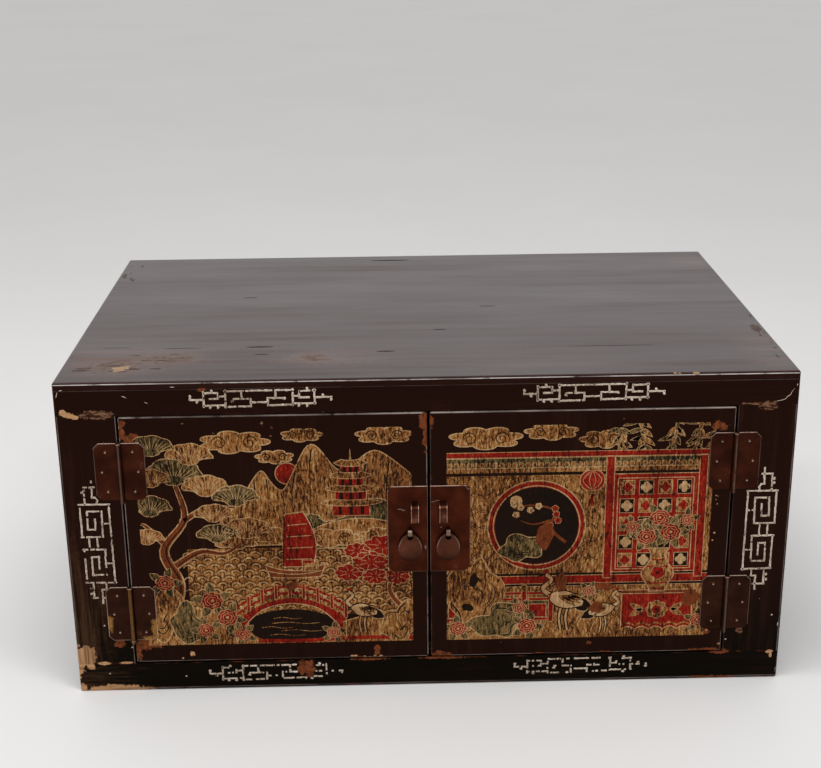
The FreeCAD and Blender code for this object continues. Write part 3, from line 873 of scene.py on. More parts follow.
def uneven(seed: int, depth: float = 0.16) -> Swell:
    """Swell of a craggy outline: a sum of five waves round the angle, each weaker than the last.

    Args:
        seed: start of the random numbers.
        depth: height of the strongest wave.

    Returns:
        The factor of the radius by angle.
    """
    rng = np.random.default_rng(seed)
    turns, phases = np.arange(2, 7), rng.uniform(0, 2 * np.pi, 5)
    weights = depth * rng.uniform(0.5, 1, 5) / np.sqrt(turns - 1)
    return lambda angle: 1 + (weights * np.cos(angle[..., None] * turns + phases)).sum(-1)


def surface(name: str, points: Array, quads: Array, material: bpy.types.Material) -> bpy.types.Object:
    """Puts points and four-sided faces into a mesh.

    Args:
        name: name of the piece.
        points: points in metres, one row each.
        quads: four point numbers a face.
        material: its finish.

    Returns:
        The piece, at the origin.
    """
    used, quads = np.unique(quads, return_inverse=True)
    quads = quads.reshape(-1, 4)
    mesh = bpy.data.meshes.new(name)
    mesh.vertices.add(len(used))
    mesh.vertices.foreach_set("co", points[used].astype(np.float32).ravel())
    mesh.loops.add(quads.size)
    mesh.loops.foreach_set("vertex_index", quads.astype(np.int32).ravel())
    mesh.polygons.add(len(quads))
    mesh.polygons.foreach_set("loop_start", np.arange(0, quads.size, 4, dtype=np.int32))
    mesh.update(calc_edges=True)
    mesh.validate()
    mesh.materials.append(material)
    piece = bpy.data.objects.new(name, mesh)
    bpy.context.scene.collection.objects.link(piece)
    return piece


class Relief:
    """Thin layers of one finish on the cabinet's front, gathered as grids and made one mesh."""

    def __init__(self, lift: float) -> None:
        """Starts with no layers.

        Args:
            lift: height of one layer in millimetres.
        """
        self.lift = lift
        self.points: list[Array] = []
        self.faces: list[Array] = []
        self.count = 0

    def add(self, grid: Array, layer: float, closed: bool = False) -> None:
        """Adds a grid of points, its rims down on the front face and the rest a layer's height off it.

        Args:
            grid: rows and columns of points as distances along X and Z.
            layer: number of the layer.
            closed: whether the last column joins the first.
        """
        rows, columns = grid.shape[:2]
        height = np.zeros((rows, columns))
        height[1:-1, slice(None) if closed else slice(1, -1)] = layer * self.lift
        index = np.arange(rows * columns).reshape(rows, columns)
        if closed:
            index = np.concatenate([index, index[:, :1]], axis=1)
        quads = cells(index)
        flat = grid.reshape(-1, 2)
        a, b = flat[quads[:, 2]] - flat[quads[:, 0]], flat[quads[:, 3]] - flat[quads[:, 1]]
        area = a[:, 0] * b[:, 1] - a[:, 1] * b[:, 0]
        quads = quads[np.abs(area) > 1e-6]
        if area.sum() < 0:
            quads = quads[:, ::-1]
        self.points.append(np.stack([flat[:, 0], FRONT_FACE - height.ravel(), flat[:, 1]], axis=1))
        self.faces.append(quads + self.count)
        self.count += len(flat)

    def build(self, name: str, material: bpy.types.Material) -> bpy.types.Object:
        """Makes the piece of a name and a finish from all the layers, at the origin."""
        return surface(name, np.concatenate(self.points) * MM, np.concatenate(self.faces), material)


@dataclass
class Assembly:
    """Sub-assembly whose pieces are nodes of the loaded frame."""

    frame: dict

    def dress(self, finish: Finish, name: str, nodes: Iterable[str]) -> None:
        """Gives nodes a finish, whatever slots they came with.

        Args:
            finish: what they are made of.
            name: name of its material.
            nodes: names of the nodes.
        """
        material = finish.material(name)
        for node in nodes:
            slots = self.frame["nodes"][node].data.materials
            slots.clear()
            slots.append(material)
            log.info("%s wears %s", node, name)


@dataclass
class Studio:
    """Pale floor, soft lights and the camera at the photographed angle; lengths in metres, angles in degrees."""

    floor_half: float = 30
    floor_points: int = 9
    near_sky: Colour = (0.5, 0.5, 0.5)
    far_sky: Colour = (1, 0.985, 0.985)
    camera_place: Point3 = (-0.05315, -1.93908, 0.98837)
    pitch: float = -19.3255
    yaw: float = 1.11676
    roll: float = -0.61187
    focal_pixels: float = 1452.64
    picture_width: float = 821
    sensor_width: float = 36

    def lay_floor(self) -> None:
        """Lays a flat square grid under the case."""
        side = np.linspace(-self.floor_half, self.floor_half, self.floor_points)
        x, y = np.meshgrid(side, side)
        quads = cells(np.arange(x.size).reshape(x.shape))
        material = FloorPaint().material("pale_floor")
        surface("floor", np.stack([x, y, np.zeros_like(x)], axis=-1).reshape(-1, 3), quads, material)

    def hang_sky(self) -> None:
        """Hangs an even soft sky, brighter behind the case: its tone goes smoothly with the direction's Y."""
        world = bpy.data.worlds.new("studio")
        world.use_nodes = True
        tree = world.node_tree
        parts = tree.nodes.new("ShaderNodeSeparateXYZ")
        rise = tree.nodes.new("ShaderNodeMapRange")
        rise.interpolation_type = "SMOOTHSTEP"
        blend = tree.nodes.new("ShaderNodeMix")
        blend.data_type = "RGBA"
        blend.inputs[6].default_value = (*self.near_sky, 1)
        blend.inputs[7].default_value = (*self.far_sky, 1)
        tree.links.new(tree.nodes.new("ShaderNodeTexCoord").outputs["Generated"], parts.inputs[0])
        tree.links.new(parts.outputs[1], rise.inputs[0])
        tree.links.new(rise.outputs[0], blend.inputs[0])
        tree.links.new(blend.outputs[2], tree.nodes["Background"].inputs["Color"])
        bpy.context.scene.world = world

    def light(self, name: str, place: Point3, aim: Point3, size: Point2, power: float) -> None:
        """Adds a rectangular soft light that the camera doesn't see.

        Args:
            name: name of the light.
            place: its middle.
            aim: point that it faces.
            size: its width and height.
            power: its power in watts.
        """
        lamp = bpy.data.lights.new(name, "AREA")
        lamp.shape = "RECTANGLE"
        lamp.size, lamp.size_y = size
        lamp.energy = power
        holder = bpy.data.objects.new(name, lamp)
        holder.location = place
        holder.rotation_euler = (Vector(aim) - Vector(place)).to_track_quat("-Z", "Y").to_euler()
        holder.visible_camera = False
        bpy.context.scene.collection.objects.link(holder)

    def set_camera(self) -> None:
        """Sets up the camera, turned by yaw about the vertical, then by pitch and roll, in that order."""
        pitch, yaw, roll = np.radians([self.pitch, self.yaw, self.roll])
        level = np.array([[1, 0, 0], [0, 0, -1], [0, 1, 0]])
        turned = np.array([[np.cos(yaw), -np.sin(yaw), 0], [np.sin(yaw), np.cos(yaw), 0], [0, 0, 1]])
        tipped = np.array([[1, 0, 0], [0, np.cos(pitch), np.sin(pitch)], [0, -np.sin(pitch), np.cos(pitch)]])
        rolled = np.array([[np.cos(roll), -np.sin(roll), 0], [np.sin(roll), np.cos(roll), 0], [0, 0, 1]])
        right, down, ahead = rolled @ tipped @ level @ turned
        lens = bpy.data.cameras.new("camera")
        lens.sensor_width = self.sensor_width
        lens.lens = self.focal_pixels * self.sensor_width / self.picture_width
        lens.clip_end = 200
        camera = bpy.data.objects.new("camera", lens)
        pose = np.eye(4)
        pose[:3] = np.stack([right, -down, -ahead, self.camera_place], axis=1)
        camera.matrix_world = Matrix(pose.tolist())
        bpy.context.scene.collection.objects.link(camera)
        bpy.context.scene.camera = camera

    def build(self) -> None:
        """Sets up the whole studio."""
        bpy.context.scene.view_settings.view_transform = "Standard"
        self.lay_floor()
        self.hang_sky()
        self.light("overhead", (-0.2, -0.75, 2.5), (0, -0.25, 0.3), (2.6, 0.5), 34)
        self.set_camera()


@dataclass
class Case(Assembly):
    """Lacquered case: frame, panels and boards, all carried over from the frame's own solids."""

    inside: Inside = Inside(half_width=437, front=-265.5, back=290.5, top=411.5)
    top_arris: Plane = (HEIGHT, 419)
    # Height of the painted highlight line on the front and sides of the top.
    top_highlight_line: float = 417.4
    top_seam: float = 59
    back_seam: float = 208
    front_edges: Edges = edges_on(
        FACE,
        (SIDE, HALF_WIDTH, 3, 0.6),
        (HEIGHT, OPENING_HIGH, 1.6, 0.25),
        (HEIGHT, OPENING_LOW, 1.6, 0.6),
        (HEIGHT, 0, 5, 0.7),
    )
    joints: Edges = edges_on(
        FLANK,
        *((DEPTH, at, 0.7) for at in (-265, 271)),
        *((HEIGHT, at, 0.7) for at in (OPENING_LOW, OPENING_HIGH, 411)),
    )
    front_chips: Chips = (
        *front_spots(
            BARE, 9, (-440, 382, 5, 4), (-433, 378.5, 6.5, 4.2), (-426, 376, 5, 2.8), (-438, 51, 13, 15),
            (-450, 44, 9, 24), (-402, 1, 42, 8), (-447, 3, 7, 9),
        ),
        *front_spots(
            BARE, 6, (-417, 40, 10, 2.4), (-388, 40.5, 9, 1.8), (-434, 36, 6, 5), (438, 38, 5, 2.6),
            (440, 33, 2, 4),
        ),
        *front_spots(SCRAPED, 6, (-399, 379, 22, 6), (414, 375.5, 11, 6), (400, 379.2, 20, 1.8), (397, 69, 4, 5)),
        *front_spots(
            RUBBED, 6, (-158.5, 28, 11, 12), (-272.5, 409, 5.5, 2.6), (-396, 68, 8, 5), (20, 39.5, 26, 3),
            (-76, 39, 22, 2.2), (372, 40, 13, 3.4), (366, 2, 30, 2.6),
        ),
        *spots(FADED, (-440, -290, 105, 42, 60, 110), (-420, -290, 18, 60, 40, 22)),
    )
    top_chips: Chips = (
        *cluster(BARE, (-372, -244, TOP_FACE), (12, 8, 0), (4, 4, 4), 7, 2),
        *cluster(SCRAPED, (-380, -236, TOP_FACE), (52, 24, 0), (8, 3.2, 4), 7, 3),
        *cluster(SCRAPED, (-326, -206, TOP_FACE), (40, 20, 0), (9, 2.2, 4), 4, 7),
        *cluster(SCRAPED, (441, -150, TOP_FACE), (6, 120, 0), (1.8, 4.2, 4), 12, 11),
        *cluster(SCRAPED, (-434, 215, TOP_FACE), (12, 44, 0), (2.2, 5, 4), 8, 12),
        *cluster(BARE, (310, -294, 419), (15, 1, 1), (2.2, 2, 2), 5, 13),
        *top_spots(STAINED, 20, (-386, -232, 62, 44), (-322, -206, 56, 30), (-140, -214, 40, 22)),
        *top_spots(SCRAPED, 4, (438, -120, 7, 18)),
        *top_spots(
            FADED, 20, (-376, -205, 110, 80), (-110, -212, 90, 40), (130, -226, 110, 50), (430, -200, 40, 110),
            (430, 240, 40, 50),
        ),
        *top_spots(
            CRACK, 4, (-211, -166, 20, 2.6), (-206, -196, 12, 1.6), (-50, -192, 14, 2.2), (-40, 266, 34, 3),
            (22, -103, 10, 1.8), (93, 4, 13, 1.8), (-241, 65, 12, 1.6), (-310, -166, 30, 1), (-396, -160, 22, 0.9),
            (236, -184, 60, 0.9),
        ),
    )
    side_chips: Chips = (
        *spots(BARE, (-449, 293, 2, 9, 14, 9), (450, 294, 1, 8, 9, 14), (450, -292, 1, 8, 12, 6)),
        *spots(RUBBED, (450, -40, 1, 6, 46, 4), (-450, 120, 1, 6, 60, 4), (450, 180, 39.5, 5, 30, 2.2)),
        *spots(
            SCRAPED, (450, -150, 250, 4, 26, 1.4), (450, 96, 318, 4, 1.4, 16), (-450, 40, 150, 4, 34, 1.3),
            (-450, -190, 286, 4, 9, 2.6),
        ),
        *spots(FADED, (450, 60, 60, 40, 190, 80), (-450, -120, 90, 40, 170, 110), (0, 295, 10, 300, 30, 30)),
    )

    def rail(self) -> Lacquer:
        """Lacquer of the front rails, which those of the other frame pieces start from.

        Returns:
            The finish.
        """
        return Lacquer(
            inside=self.inside,
            # Painted shade: darker coat and dimmer reflection towards the floor.
            shaded_low_coat=srgb(11, 7, 4),
            shaded_low_tint=(0.3, 0.26, 0.18),
            edges=self.front_edges,
            # Painted highlight lines along the bottom edge and the top rail's upper edge.
            painted_highlight_edges=edges_on(FACE, (HEIGHT, 3.2, 1, 0.28), (HEIGHT, 409.6, 0.8, 0.1)),
            seams=self.joints,
            chips=self.front_chips,
        )

    def dress_front(self) -> None:
        """Dresses the rails and stiles of the front, with painted highlight lines along some of their edges."""
        self.dress(self.rail(), "front_rail_lacquer", ["front_top_rail", "front_bottom_rail"])
        stile = replace(
            self.rail(),
            edges=(*self.front_edges, Edge(SIDE, OPENING_HALF, 2, FACE, 0.3)),
            wood=Wood(Grain.UPRIGHT),
            grain=(110, 110, 6),
            streak=0.8,
        )
        # Painted highlight lines along each stile's inner and outer edges.
        for side, strength in (("left", 0.3), ("right", 0.06)):
            lines = edges_on(FACE, (SIDE, OPENING_HALF + 0.6, 0.9, strength), (SIDE, 447.5, 1, 0.3))
            self.dress(replace(stile, painted_highlight_edges=lines), f"{side}_stile_lacquer", [f"{side}_front_stile"])

    def dress_top(self) -> None:
        """Dresses the two boards of the top."""
        top = Lacquer(
            inside=self.inside,
            coat=srgb(32, 11, 8),
            thin=srgb(62, 38, 31),
            faded=srgb(88, 62, 54),
            scraped=srgb(84, 73, 66),
            chipped=srgb(158, 132, 104),
            gleam=srgb(238, 230, 224),
            tint=(0.2, 0.1, 0.07),
            gloss=0.32,
            shine=0.5,
            top_tint=(1, 0.86, 0.86),
            swell=0.4,
            patch=(2.6, 15, 15),
            streak=0.75,
            grain=(1.6, 64, 64),
            edges=edges_on(self.top_arris, (SIDE, HALF_WIDTH, 2), (DEPTH, REAR_FACE, 2)),
            # Painted highlight line along the top's front, fainter along its sides.
            painted_highlight_edges=(
                Edge(HEIGHT, self.top_highlight_line, 0.95, FACE),
                Edge(HEIGHT, self.top_highlight_line, 1, FLANK, 0.3),
            ),
            seams=(Edge(DEPTH, self.top_seam, 1.2, (HEIGHT, TOP_FACE), 0.7), *self.joints),
            chips=self.top_chips,
        )
        self.dress(top, "top_lacquer", ["front_top_board", "rear_top_board"])

    def dress_sides(self) -> None:
        """Dresses the sides and the frame of the back."""
        rear_joints = edges_on(REAR, *((HEIGHT, at, 0.7) for at in (OPENING_LOW, OPENING_HIGH)))
        side = replace(
            self.rail(),
            edges=(
                *edges_on(REAR, (SIDE, HALF_WIDTH, 3), (HEIGHT, 0, 4)),
                Edge(HEIGHT, 0, 4, FLANK),
            ),
            painted_highlight_edges=(),
            seams=(*self.joints, *rear_joints),
            chips=self.side_chips,
            wood=Wood(Grain.DEPTHWISE),
            grain=(90, 8, 70),
            streak=0.8,
        )
        self.dress(side, "side_lacquer", both("side_panel", "side_top_rail", "side_bottom_rail"))
        rail = replace(side, wood=Wood(), grain=(8, 90, 70))
        self.dress(rail, "back_rail_lacquer", ["back_top_rail", "back_bottom_rail"])
        post = replace(side, wood=Wood(Grain.UPRIGHT), grain=(90, 90, 8))
        self.dress(post, "rear_post_lacquer", both("rear_post"))

    def dress_boards(self) -> None:
        """Dresses the bare boards, stops, battens and pegs."""
        lower = Wood(seams=(Edge(HEIGHT, self.back_seam, 0.9),))
        upper = replace(lower, shift=5)
        self.dress(lower, "lower_board_wood", ["front_bottom_board", "lower_back_board", "lower_door_stop"])
        self.dress(upper, "upper_board_wood", ["rear_bottom_board", "upper_back_board", "upper_door_stop"])
        self.dress(Wood(Grain.DEPTHWISE), "crosswise_wood", [*both("top_batten"), "top_pegs"])

    def build(self) -> None:
        """Dresses the case's nodes."""
        self.dress_front()
        self.dress_top()
        self.dress_sides()
        self.dress_boards()


@dataclass
class Doors(Assembly):
    """Two flush doors: lacquered boards with wooden battens behind."""

    inside: Inside = Inside(half_width=1000, front=-280.4, back=0, top=1000)
    face: Plane = (DEPTH, -294)
    chips: Chips = (
        *front_spots(
            RUBBED, 6, (-370, 366, 5, 4), (-371, 355, 5, 8), (-360, 348, 9, 6), (-356, 67, 18, 7),
            (-372, 58, 5, 12), (356, 351, 9, 6), (141, 41, 9, 2.6), (227, 41, 9, 2.6), (203.6, 56, 3, 3),
            (-90, 40, 5, 4), (-67, 52, 4, 7), (3, 364, 3, 8), (12, 43, 16, 5), (352, 69, 7, 4), (352, 42, 18, 3),
        ),
        *front_spots(RUBBED, 8, (-4, 366, 6.5, 14), (-2.5, 344, 4, 20)),
        *front_spots(BARE, 4, (372, 50.7, 2.2, 1.5), (355, 70.5, 1.2, 1.4), (-315.6, 45.3, 1.2, 1.2)),
        *cluster(BARE, (-304, FRONT_FACE, 52), (2.6, 0, 2.6), (1.5, 4, 1.7), 5, 5),
        *cluster(SCRAPED, (-236, FRONT_FACE, 357), (62, 0, 9), (1.3, 4, 1.1), 8, 9),
        *cluster(BARE, (357, FRONT_FACE, 210), (2, 0, 50), (0.9, 4, 0.9), 6, 4),
        *cluster(BARE, (-78, FRONT_FACE, 42.5), (22, 0, 2), (1.8, 4, 1.1), 7, 6),
    )

    def build(self) -> None:
        """Dresses the door boards, with painted highlight lines and painted shade towards the floor, and their battens.
        """
        board = Lacquer(
            inside=self.inside,
            edges=edges_on(
                self.face,
                (SIDE, 1.5, 3.5, 0.8),
                (SIDE, 375, 2.5, 0.6),
                (HEIGHT, 40.5, 3, 0.8),
                (HEIGHT, 375.5, 2, 0.3),
            ),
            chips=self.chips,
            wood=Wood(Grain.UPRIGHT),
            grain=(90, 90, 6),
            # Painted shade: dimmer reflection towards the floor.
            shaded_low_tint=(0.8, 0.45, 0.3),
        )
        # Painted highlight lines along each door's four edges; the meeting and hinged edges differ from door to door.
        for side, meeting, hinged in (("left", 0.75, 0.7), ("right", 0.12, 0.4)):
            lines = edges_on(
                self.face,
                (HEIGHT, 41.3, 1.1, 0.9),
                (HEIGHT, 374.8, 1.8),
                (SIDE, 2, 1.2, meeting),
                (SIDE, 374.2, 1.2, hinged),
            )
            self.dress(replace(board, painted_highlight_edges=lines), f"{side}_door_lacquer", [f"{side}_door_board"])
        self.dress(Wood(), "door_batten_wood", both("door_lower_batten", "door_upper_batten"))


@dataclass
class Metalwork(Assembly):
    """Hinges, nails, lock plates, staples, eyes and drop pulls."""

    leaf_sides: Point2 = (345.2, 406.8)
    leaf_corners: Point2 = (351, 401)
    leaf_tops: Point2 = (148.5, 342.5)
    leaf_foot: float = 73.5
    hinge_axis: float = 376
    brass_spots: Chips = front_spots(
        RUBBED, 4, (-347, 89, 6, 16), (-404.5, 97, 5, 11), (-354, 76, 11, 4), face=PLATE_FACE
    )
    # Pale scratches on the lock plates, and painted highlights on the notches of their upper outer corners.
    plate_scratches_and_highlights: Chips = front_spots(
        SCRAPED, 4, (-36, 248.5, 3.4, 0.7), (-31.5, 247, 3, 0.7), (5, 257.6, 3.4, 0.6), (10.5, 259.4, 3.4, 0.6),
        (-4.5, 196, 1.2, 3.4), (15, 223, 1.2, 1.2), (-51.5, 279, 6.6, 6.6), (51.5, 279, 6.2, 6.2), face=PLATE_FACE,
    )
    # Middle and radii of the drop's outline, whose upper shoulders carry a painted highlight.
    drop_middle: Point3 = (23.7, -303.5, 195)
    drop_radii: Point3 = (15.2, 60, 23.8)

    def dress_hinges(self) -> None:
        """Dresses the hinge leaves, with painted highlights on rims and knuckles; they are most worn at the lower left.
        """
        inner, outer = self.leaf_corners
        # Painted highlights along the leaves' sides, tops and top corners.
        highlight_rims = edges_on(
            None,
            *((SIDE, at, 0.8, 0.32) for at in self.leaf_sides),
            *((HEIGHT, top - 0.2, 0.9) for top in self.leaf_tops),
            *((RISE, (outer + top) * SLANT - 0.2, 0.8, 0.7) for top in self.leaf_tops),
            *((FALL, (inner - top) * SLANT + 0.2, 0.8, 0.7) for top in self.leaf_tops),
        )
        # Painted highlight down the knuckle's crown.
        knuckle_highlight = Edge(SIDE, self.hinge_axis, 1.5, (DEPTH, -301.4), 0.22)
        upper = Copper(patina=srgb(66, 31, 20), deep=srgb(48, 23, 15), highlight_rims=(*highlight_rims, knuckle_highlight))
        self.dress(upper, "hinge_patina", both("upper_frame_leaf", "upper_door_leaf"))
        # Painted shade: the lower hinges take darker tones of the same patina.
        lower = replace(upper, patina=srgb(55, 30, 21), deep=srgb(41, 22, 15))
        self.dress(lower, "shaded_lower_hinge_patina", ["right_lower_frame_leaf", "right_lower_door_leaf"])
        # Painted highlight round the foot of the lower left leaves.
        outline = edges_on(
            None,
            *((SIDE, at, 0.9) for at in self.leaf_sides),
            (HEIGHT, self.leaf_foot + 0.3, 0.9, 0.6),
            (RISE, (inner + self.leaf_foot) * SLANT + 0.2, 0.8, 0.7),
            (FALL, (outer - self.leaf_foot) * SLANT - 0.2, 0.8, 0.7),
        )
        worn = replace(
            lower,
            bright=srgb(134, 84, 42),
            highlight_rims=(*highlight_rims, *outline),
            bare=(Edge(SIDE, self.hinge_axis, 2.6, (DEPTH, -300.4)),),
            chips=self.brass_spots,
        )
        self.dress(worn, "worn_hinge_patina", ["left_lower_frame_leaf", "left_lower_door_leaf"])

    def dress_locks(self) -> None:
        """Dresses the lock plates, staples, eyes and drops, with painted highlights and, on the drops, painted shade.
        """
        # Painted highlight lines along the plates' edges.
        plate_highlight_rims = edges_on(
            None,
            (HEIGHT, 278.8, 0.9),
            (SIDE, 51.3, 0.8, 0.5),
            (SIDE, 1.8, 0.5, 0.4),
            (HEIGHT, 162.7, 0.6, 0.25),
        )
        self.dress(Copper(highlight_rims=plate_highlight_rims, chips=self.plate_scratches_and_highlights), "plate_patina", both("lock_plate"))
        rubbed = Copper(patina=srgb(108, 60, 42), rub=0.2)
        # Painted highlight lines along the staple's two sides.
        staple = replace(rubbed, highlight_rims=edges_on(None, (SIDE, 13, 0.7, 0.8), (SIDE, 22, 0.7, 0.8)))
        self.dress(staple, "staple_copper", both("lock_staple"))
        self.dress(rubbed, "rubbed_copper", both("lower_hinge_pin", "upper_hinge_pin"))
        eye = Copper(patina=srgb(172, 150, 134), deep=srgb(112, 88, 74), bright=srgb(206, 190, 176), rub=0.15)
        self.dress(eye, "rubbed_eye", both("pull_eye"))
        x, y, z = self.drop_middle
        # Painted shade towards the drop's lower end, and a painted highlight on its upper shoulders.
        drop = Copper(
            patina=srgb(98, 57, 42),
            deep=srgb(78, 44, 31),
            painted_shade_edges=(Edge(HEIGHT, 176, 22),),
            shoulder_highlights=spots(RUBBED, *((way * x, y, z, *self.drop_radii) for way in SIDES.values())),
        )
        self.dress(drop, "drop_copper", both("drop_pull"))

    def build(self) -> None:
        """Dresses the metal nodes; the nail heads get a painted glint on their crowns."""
        self.dress_hinges()
        self.dress_locks()
        # Painted glint on the crown of each nail head.
        nail = Copper(
            patina=srgb(84, 52, 40),
            deep=srgb(52, 31, 23),
            gleam=srgb(220, 194, 176),
            highlight_rims=(Edge(DEPTH, -297.9, 0.7, None, 0.75),),
        )
        self.dress(nail, "nail_heads_painted_glint", [*both("door_hinge_nails"), "frame_hinge_nails"])


@dataclass(frozen=True)
class Fret:
    """Key-fret ornament about its middle: lines as rows of X and Z of their corners, and the middles of its knobs."""

    lines: tuple[tuple[float, ...], ...]
    knobs: tuple[Point2, ...]


RAIL_FRET = Fret(
    lines=(
        (-84.5, 3, -85, -1, -68.5, -1),
        (-68.5, 9, -68.5, -10),
        (-68.5, 7.5, -51, 7.5, -51, 0, -61, 0),
        (-69, -8.7, -43.5, -8.2),
        (-51, 2.8, -43, 2.8),
        (-42.2, 10.5, -42.2, -11.2),
        (-43, 9.4, 39.2, 9.9),
        (38.8, 11, 38.2, -10),
        (-43, -10.6, -11.8, -10),
        (8.5, -9.4, 38.2, -8.8),
        (-22.8, 9, -22.8, 0),
        (-34, -3.2, -33.5, -0.6, -12, -0.6, -12, -10),
        (-11.8, -5.2, 8.2, -5.2),
        (18, 9.4, 18, 0),
        (28.6, -0.5, 8.5, 0, 8.5, -9.6),
        (38.6, 2, 46.3, 2),
        (46.5, 9, 46.5, 0, 58, 0),
        (46.5, 8, 65.6, 9),
        (64.7, 10, 64.7, -8.7),
        (39, -7.6, 65.7, -7.6),
        (65.7, 0, 85, 0, 84.6, -2.8),
    ),
    knobs=(
        (-84.5, 3.6), (-76.5, -3.6), (-58.5, 10), (-61, -10.8), (-51.5, -10.8), (-34.2, -3.2),
        (28.8, -0.8), (56, 11.2), (45.6, -10), (55.5, -10.4), (74.8, 2.6), (84.6, -3),
    ),
)
STILE_FRET = Fret(
    lines=(
        (1.2, 84, 1.2, 76),
        (-1.6, 76, 11, 76, 11.3, 53.2),
        (1, 76, 1.7, 62.4, -1.9, 62.4, -4.6, 58.6, -3, 54),
        (-18.7, 53.2, 19, 53.2),
        (17.8, 53.2, 18, 9.2),
        (-17.7, 53.2, -18, -55),
        (-19.2, -54, 18, -53.4),
        (0.4, 35.3, 0.8, 19.2, 10.4, 19.4, 9.3, 43.9, -8.4, 43.9, -7.6, 9.2, 18.6, 9.2),
        (-17, 27.1, -8.2, 27.1),
        (-0.2, 8.7, -0.3, -7.6),
        (9.9, 8.7, 9.8, -7.6),
        (-9.4, -8, 18.2, -7.7),
        (16.9, -7.7, 16.8, -53.2),
        (-8.9, -8, -8.2, -42.9, 9, -42.9, 8.4, -18.2, -0.2, -18, 0, -34.7),
        (-18, -27.1, -8.9, -27.1),
        (-6.5, -54.3, -6.5, -63.5, -0.9, -63.5, -1.1, -76, -0.7, -82.5),
        (9.3, -54.3, 9.8, -74.9),
        (-3.5, -74.9, 10.6, -74.9),
    ),
    knobs=((13.6, 69.4), (13.8, 63.8), (12.4, -61.8), (12.8, -69)),
)


@dataclass
class KeyFrets:
    """Cream key-fret ornaments, painted in narrow lines on the rails and stiles of the front.

    A place is a fret, the X and Z of its middle, the level from -1 to 1 under which it has worn away, and -1 for the
    mirror image. A mark is a row of X and Z of the points of a scratch.
    """

    line: float = 2.3
    knob: float = 1.8
    lift: float = 0.22
    mark_layer: float = 0.3
    rub_middle: Point2 = (-158.5, 28)
    rub_radii: Point2 = (12, 13.5)
    places: tuple[tuple[Fret, float, float, float, float], ...] = (
        (RAIL_FRET, -201.3, 397, -0.9, 1),
        (RAIL_FRET, 200.6, 397.3, -0.94, 1),
        (RAIL_FRET, -197.7, 22.7, -0.5, 1),
        (RAIL_FRET, 194.1, 23.6, -0.44, 1),
        (STILE_FRET, -411.7, 208.6, -0.78, -1),
        (STILE_FRET, 413.5, 210.5, -0.95, 1),
    )
    marks: tuple[tuple[float, ...], ...] = (
        (-367.4, 402.7, -361.8, 399.9),
        (-342.1, 394.7, -336.4, 392.5),
        (-309.1, 412.9, -303.3, 412.8),
        (-441.6, 410, -437.6, 411.3),
        (-443.8, 408.3, -446, 401.4),
        (421, 381.6, 426.6, 382.4, 432.8, 384.2, 435.2, 387.4, 438.8, 389.6, 440.4, 393.6, 444, 398.3),
        (446.2, 401, 446.8, 404),
        (446.4, 79.5, 445.8, 74.5),
        (448.2, 15, 447.2, 8),
    )
    dots: tuple[Point2, ...] = (
        (-410.4, 25), (-412.2, 94.3), (437.6, 90.8), (380.5, 57), (-379.3, 62.4), (-313.1, 19.2),
    )

    def draw(self, relief: Relief, fret: Fret, at: Point2, wear: float, flip: float, seed: int) -> None:
        """Draws one fret: each straight run is a ribbon with a small waver, left out where it has worn through.

        Args:
            relief: layers that it goes into.
            fret: its lines and knobs.
            at: place of its middle along X and Z.
            wear: level from -1 to 1 under which it has worn away.
            flip: -1 for the mirror image, or 1.
            seed: start of its random waver.
        """
        rng = np.random.default_rng(seed)
        for line in fret.lines:
            corners = np.reshape(line, (-1, 2))
            for start, end in zip(corners[:-1], corners[1:]):
                way = end - start
                length = np.linalg.norm(way)
                reach = way / length * self.line * 0.45
                count = max(6, int(length / 0.8))
                path = np.linspace(start - reach, end + reach, count)
                path = path + waver(rng, count, 0.22)[:, None] * np.array([-way[1], way[0]]) / length
                path = path * (flip, 1) + at
                outside = np.linalg.norm((path - self.rub_middle) / self.rub_radii, axis=1) > 1
                kept = outside & (waver(rng, count, 1) > wear)
                for first, last in runs(kept):
                    width = self.line * (1 + waver(rng, last - first, 0.22))
                    relief.add(ribbon(path[first:last], width), 1)
        for knob in fret.knobs:
            if rng.uniform(-1, 1) > wear:
                relief.add(blob(np.array(knob) * (flip, 1) + at, self.knob, 4, uneven(seed)), 1.1)

    def scratch(self, relief: Relief) -> None:
        """Adds the thin pale scratches, the crack line and the dots beside the frets.

        Args:
            relief: layers that they go into.
        """
        width = 0.9 * np.sin(np.linspace(0.4, np.pi - 0.2, 12))
        for mark in self.marks:
            relief.add(ribbon(curve(np.reshape(mark, (-1, 2)), len(width)), width), self.mark_layer)
        for dot in self.dots:
            relief.add(blob(dot, 1.1, 3, uneven(9)), self.mark_layer)

    def build(self) -> None:
        """Paints the six frets, and the scratches beside them, as one piece on the case."""
        relief = Relief(self.lift)
        for seed, (fret, x, z, wear, flip) in enumerate(self.places, 1):
            self.draw(relief, fret, (x, z), wear, flip, seed)
        self.scratch(relief)
        piece = relief.build("key_frets", FRET_COAT.material("fret_line_paint"))
        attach(piece, "carcass")
        log.info("key_frets painted on the case")


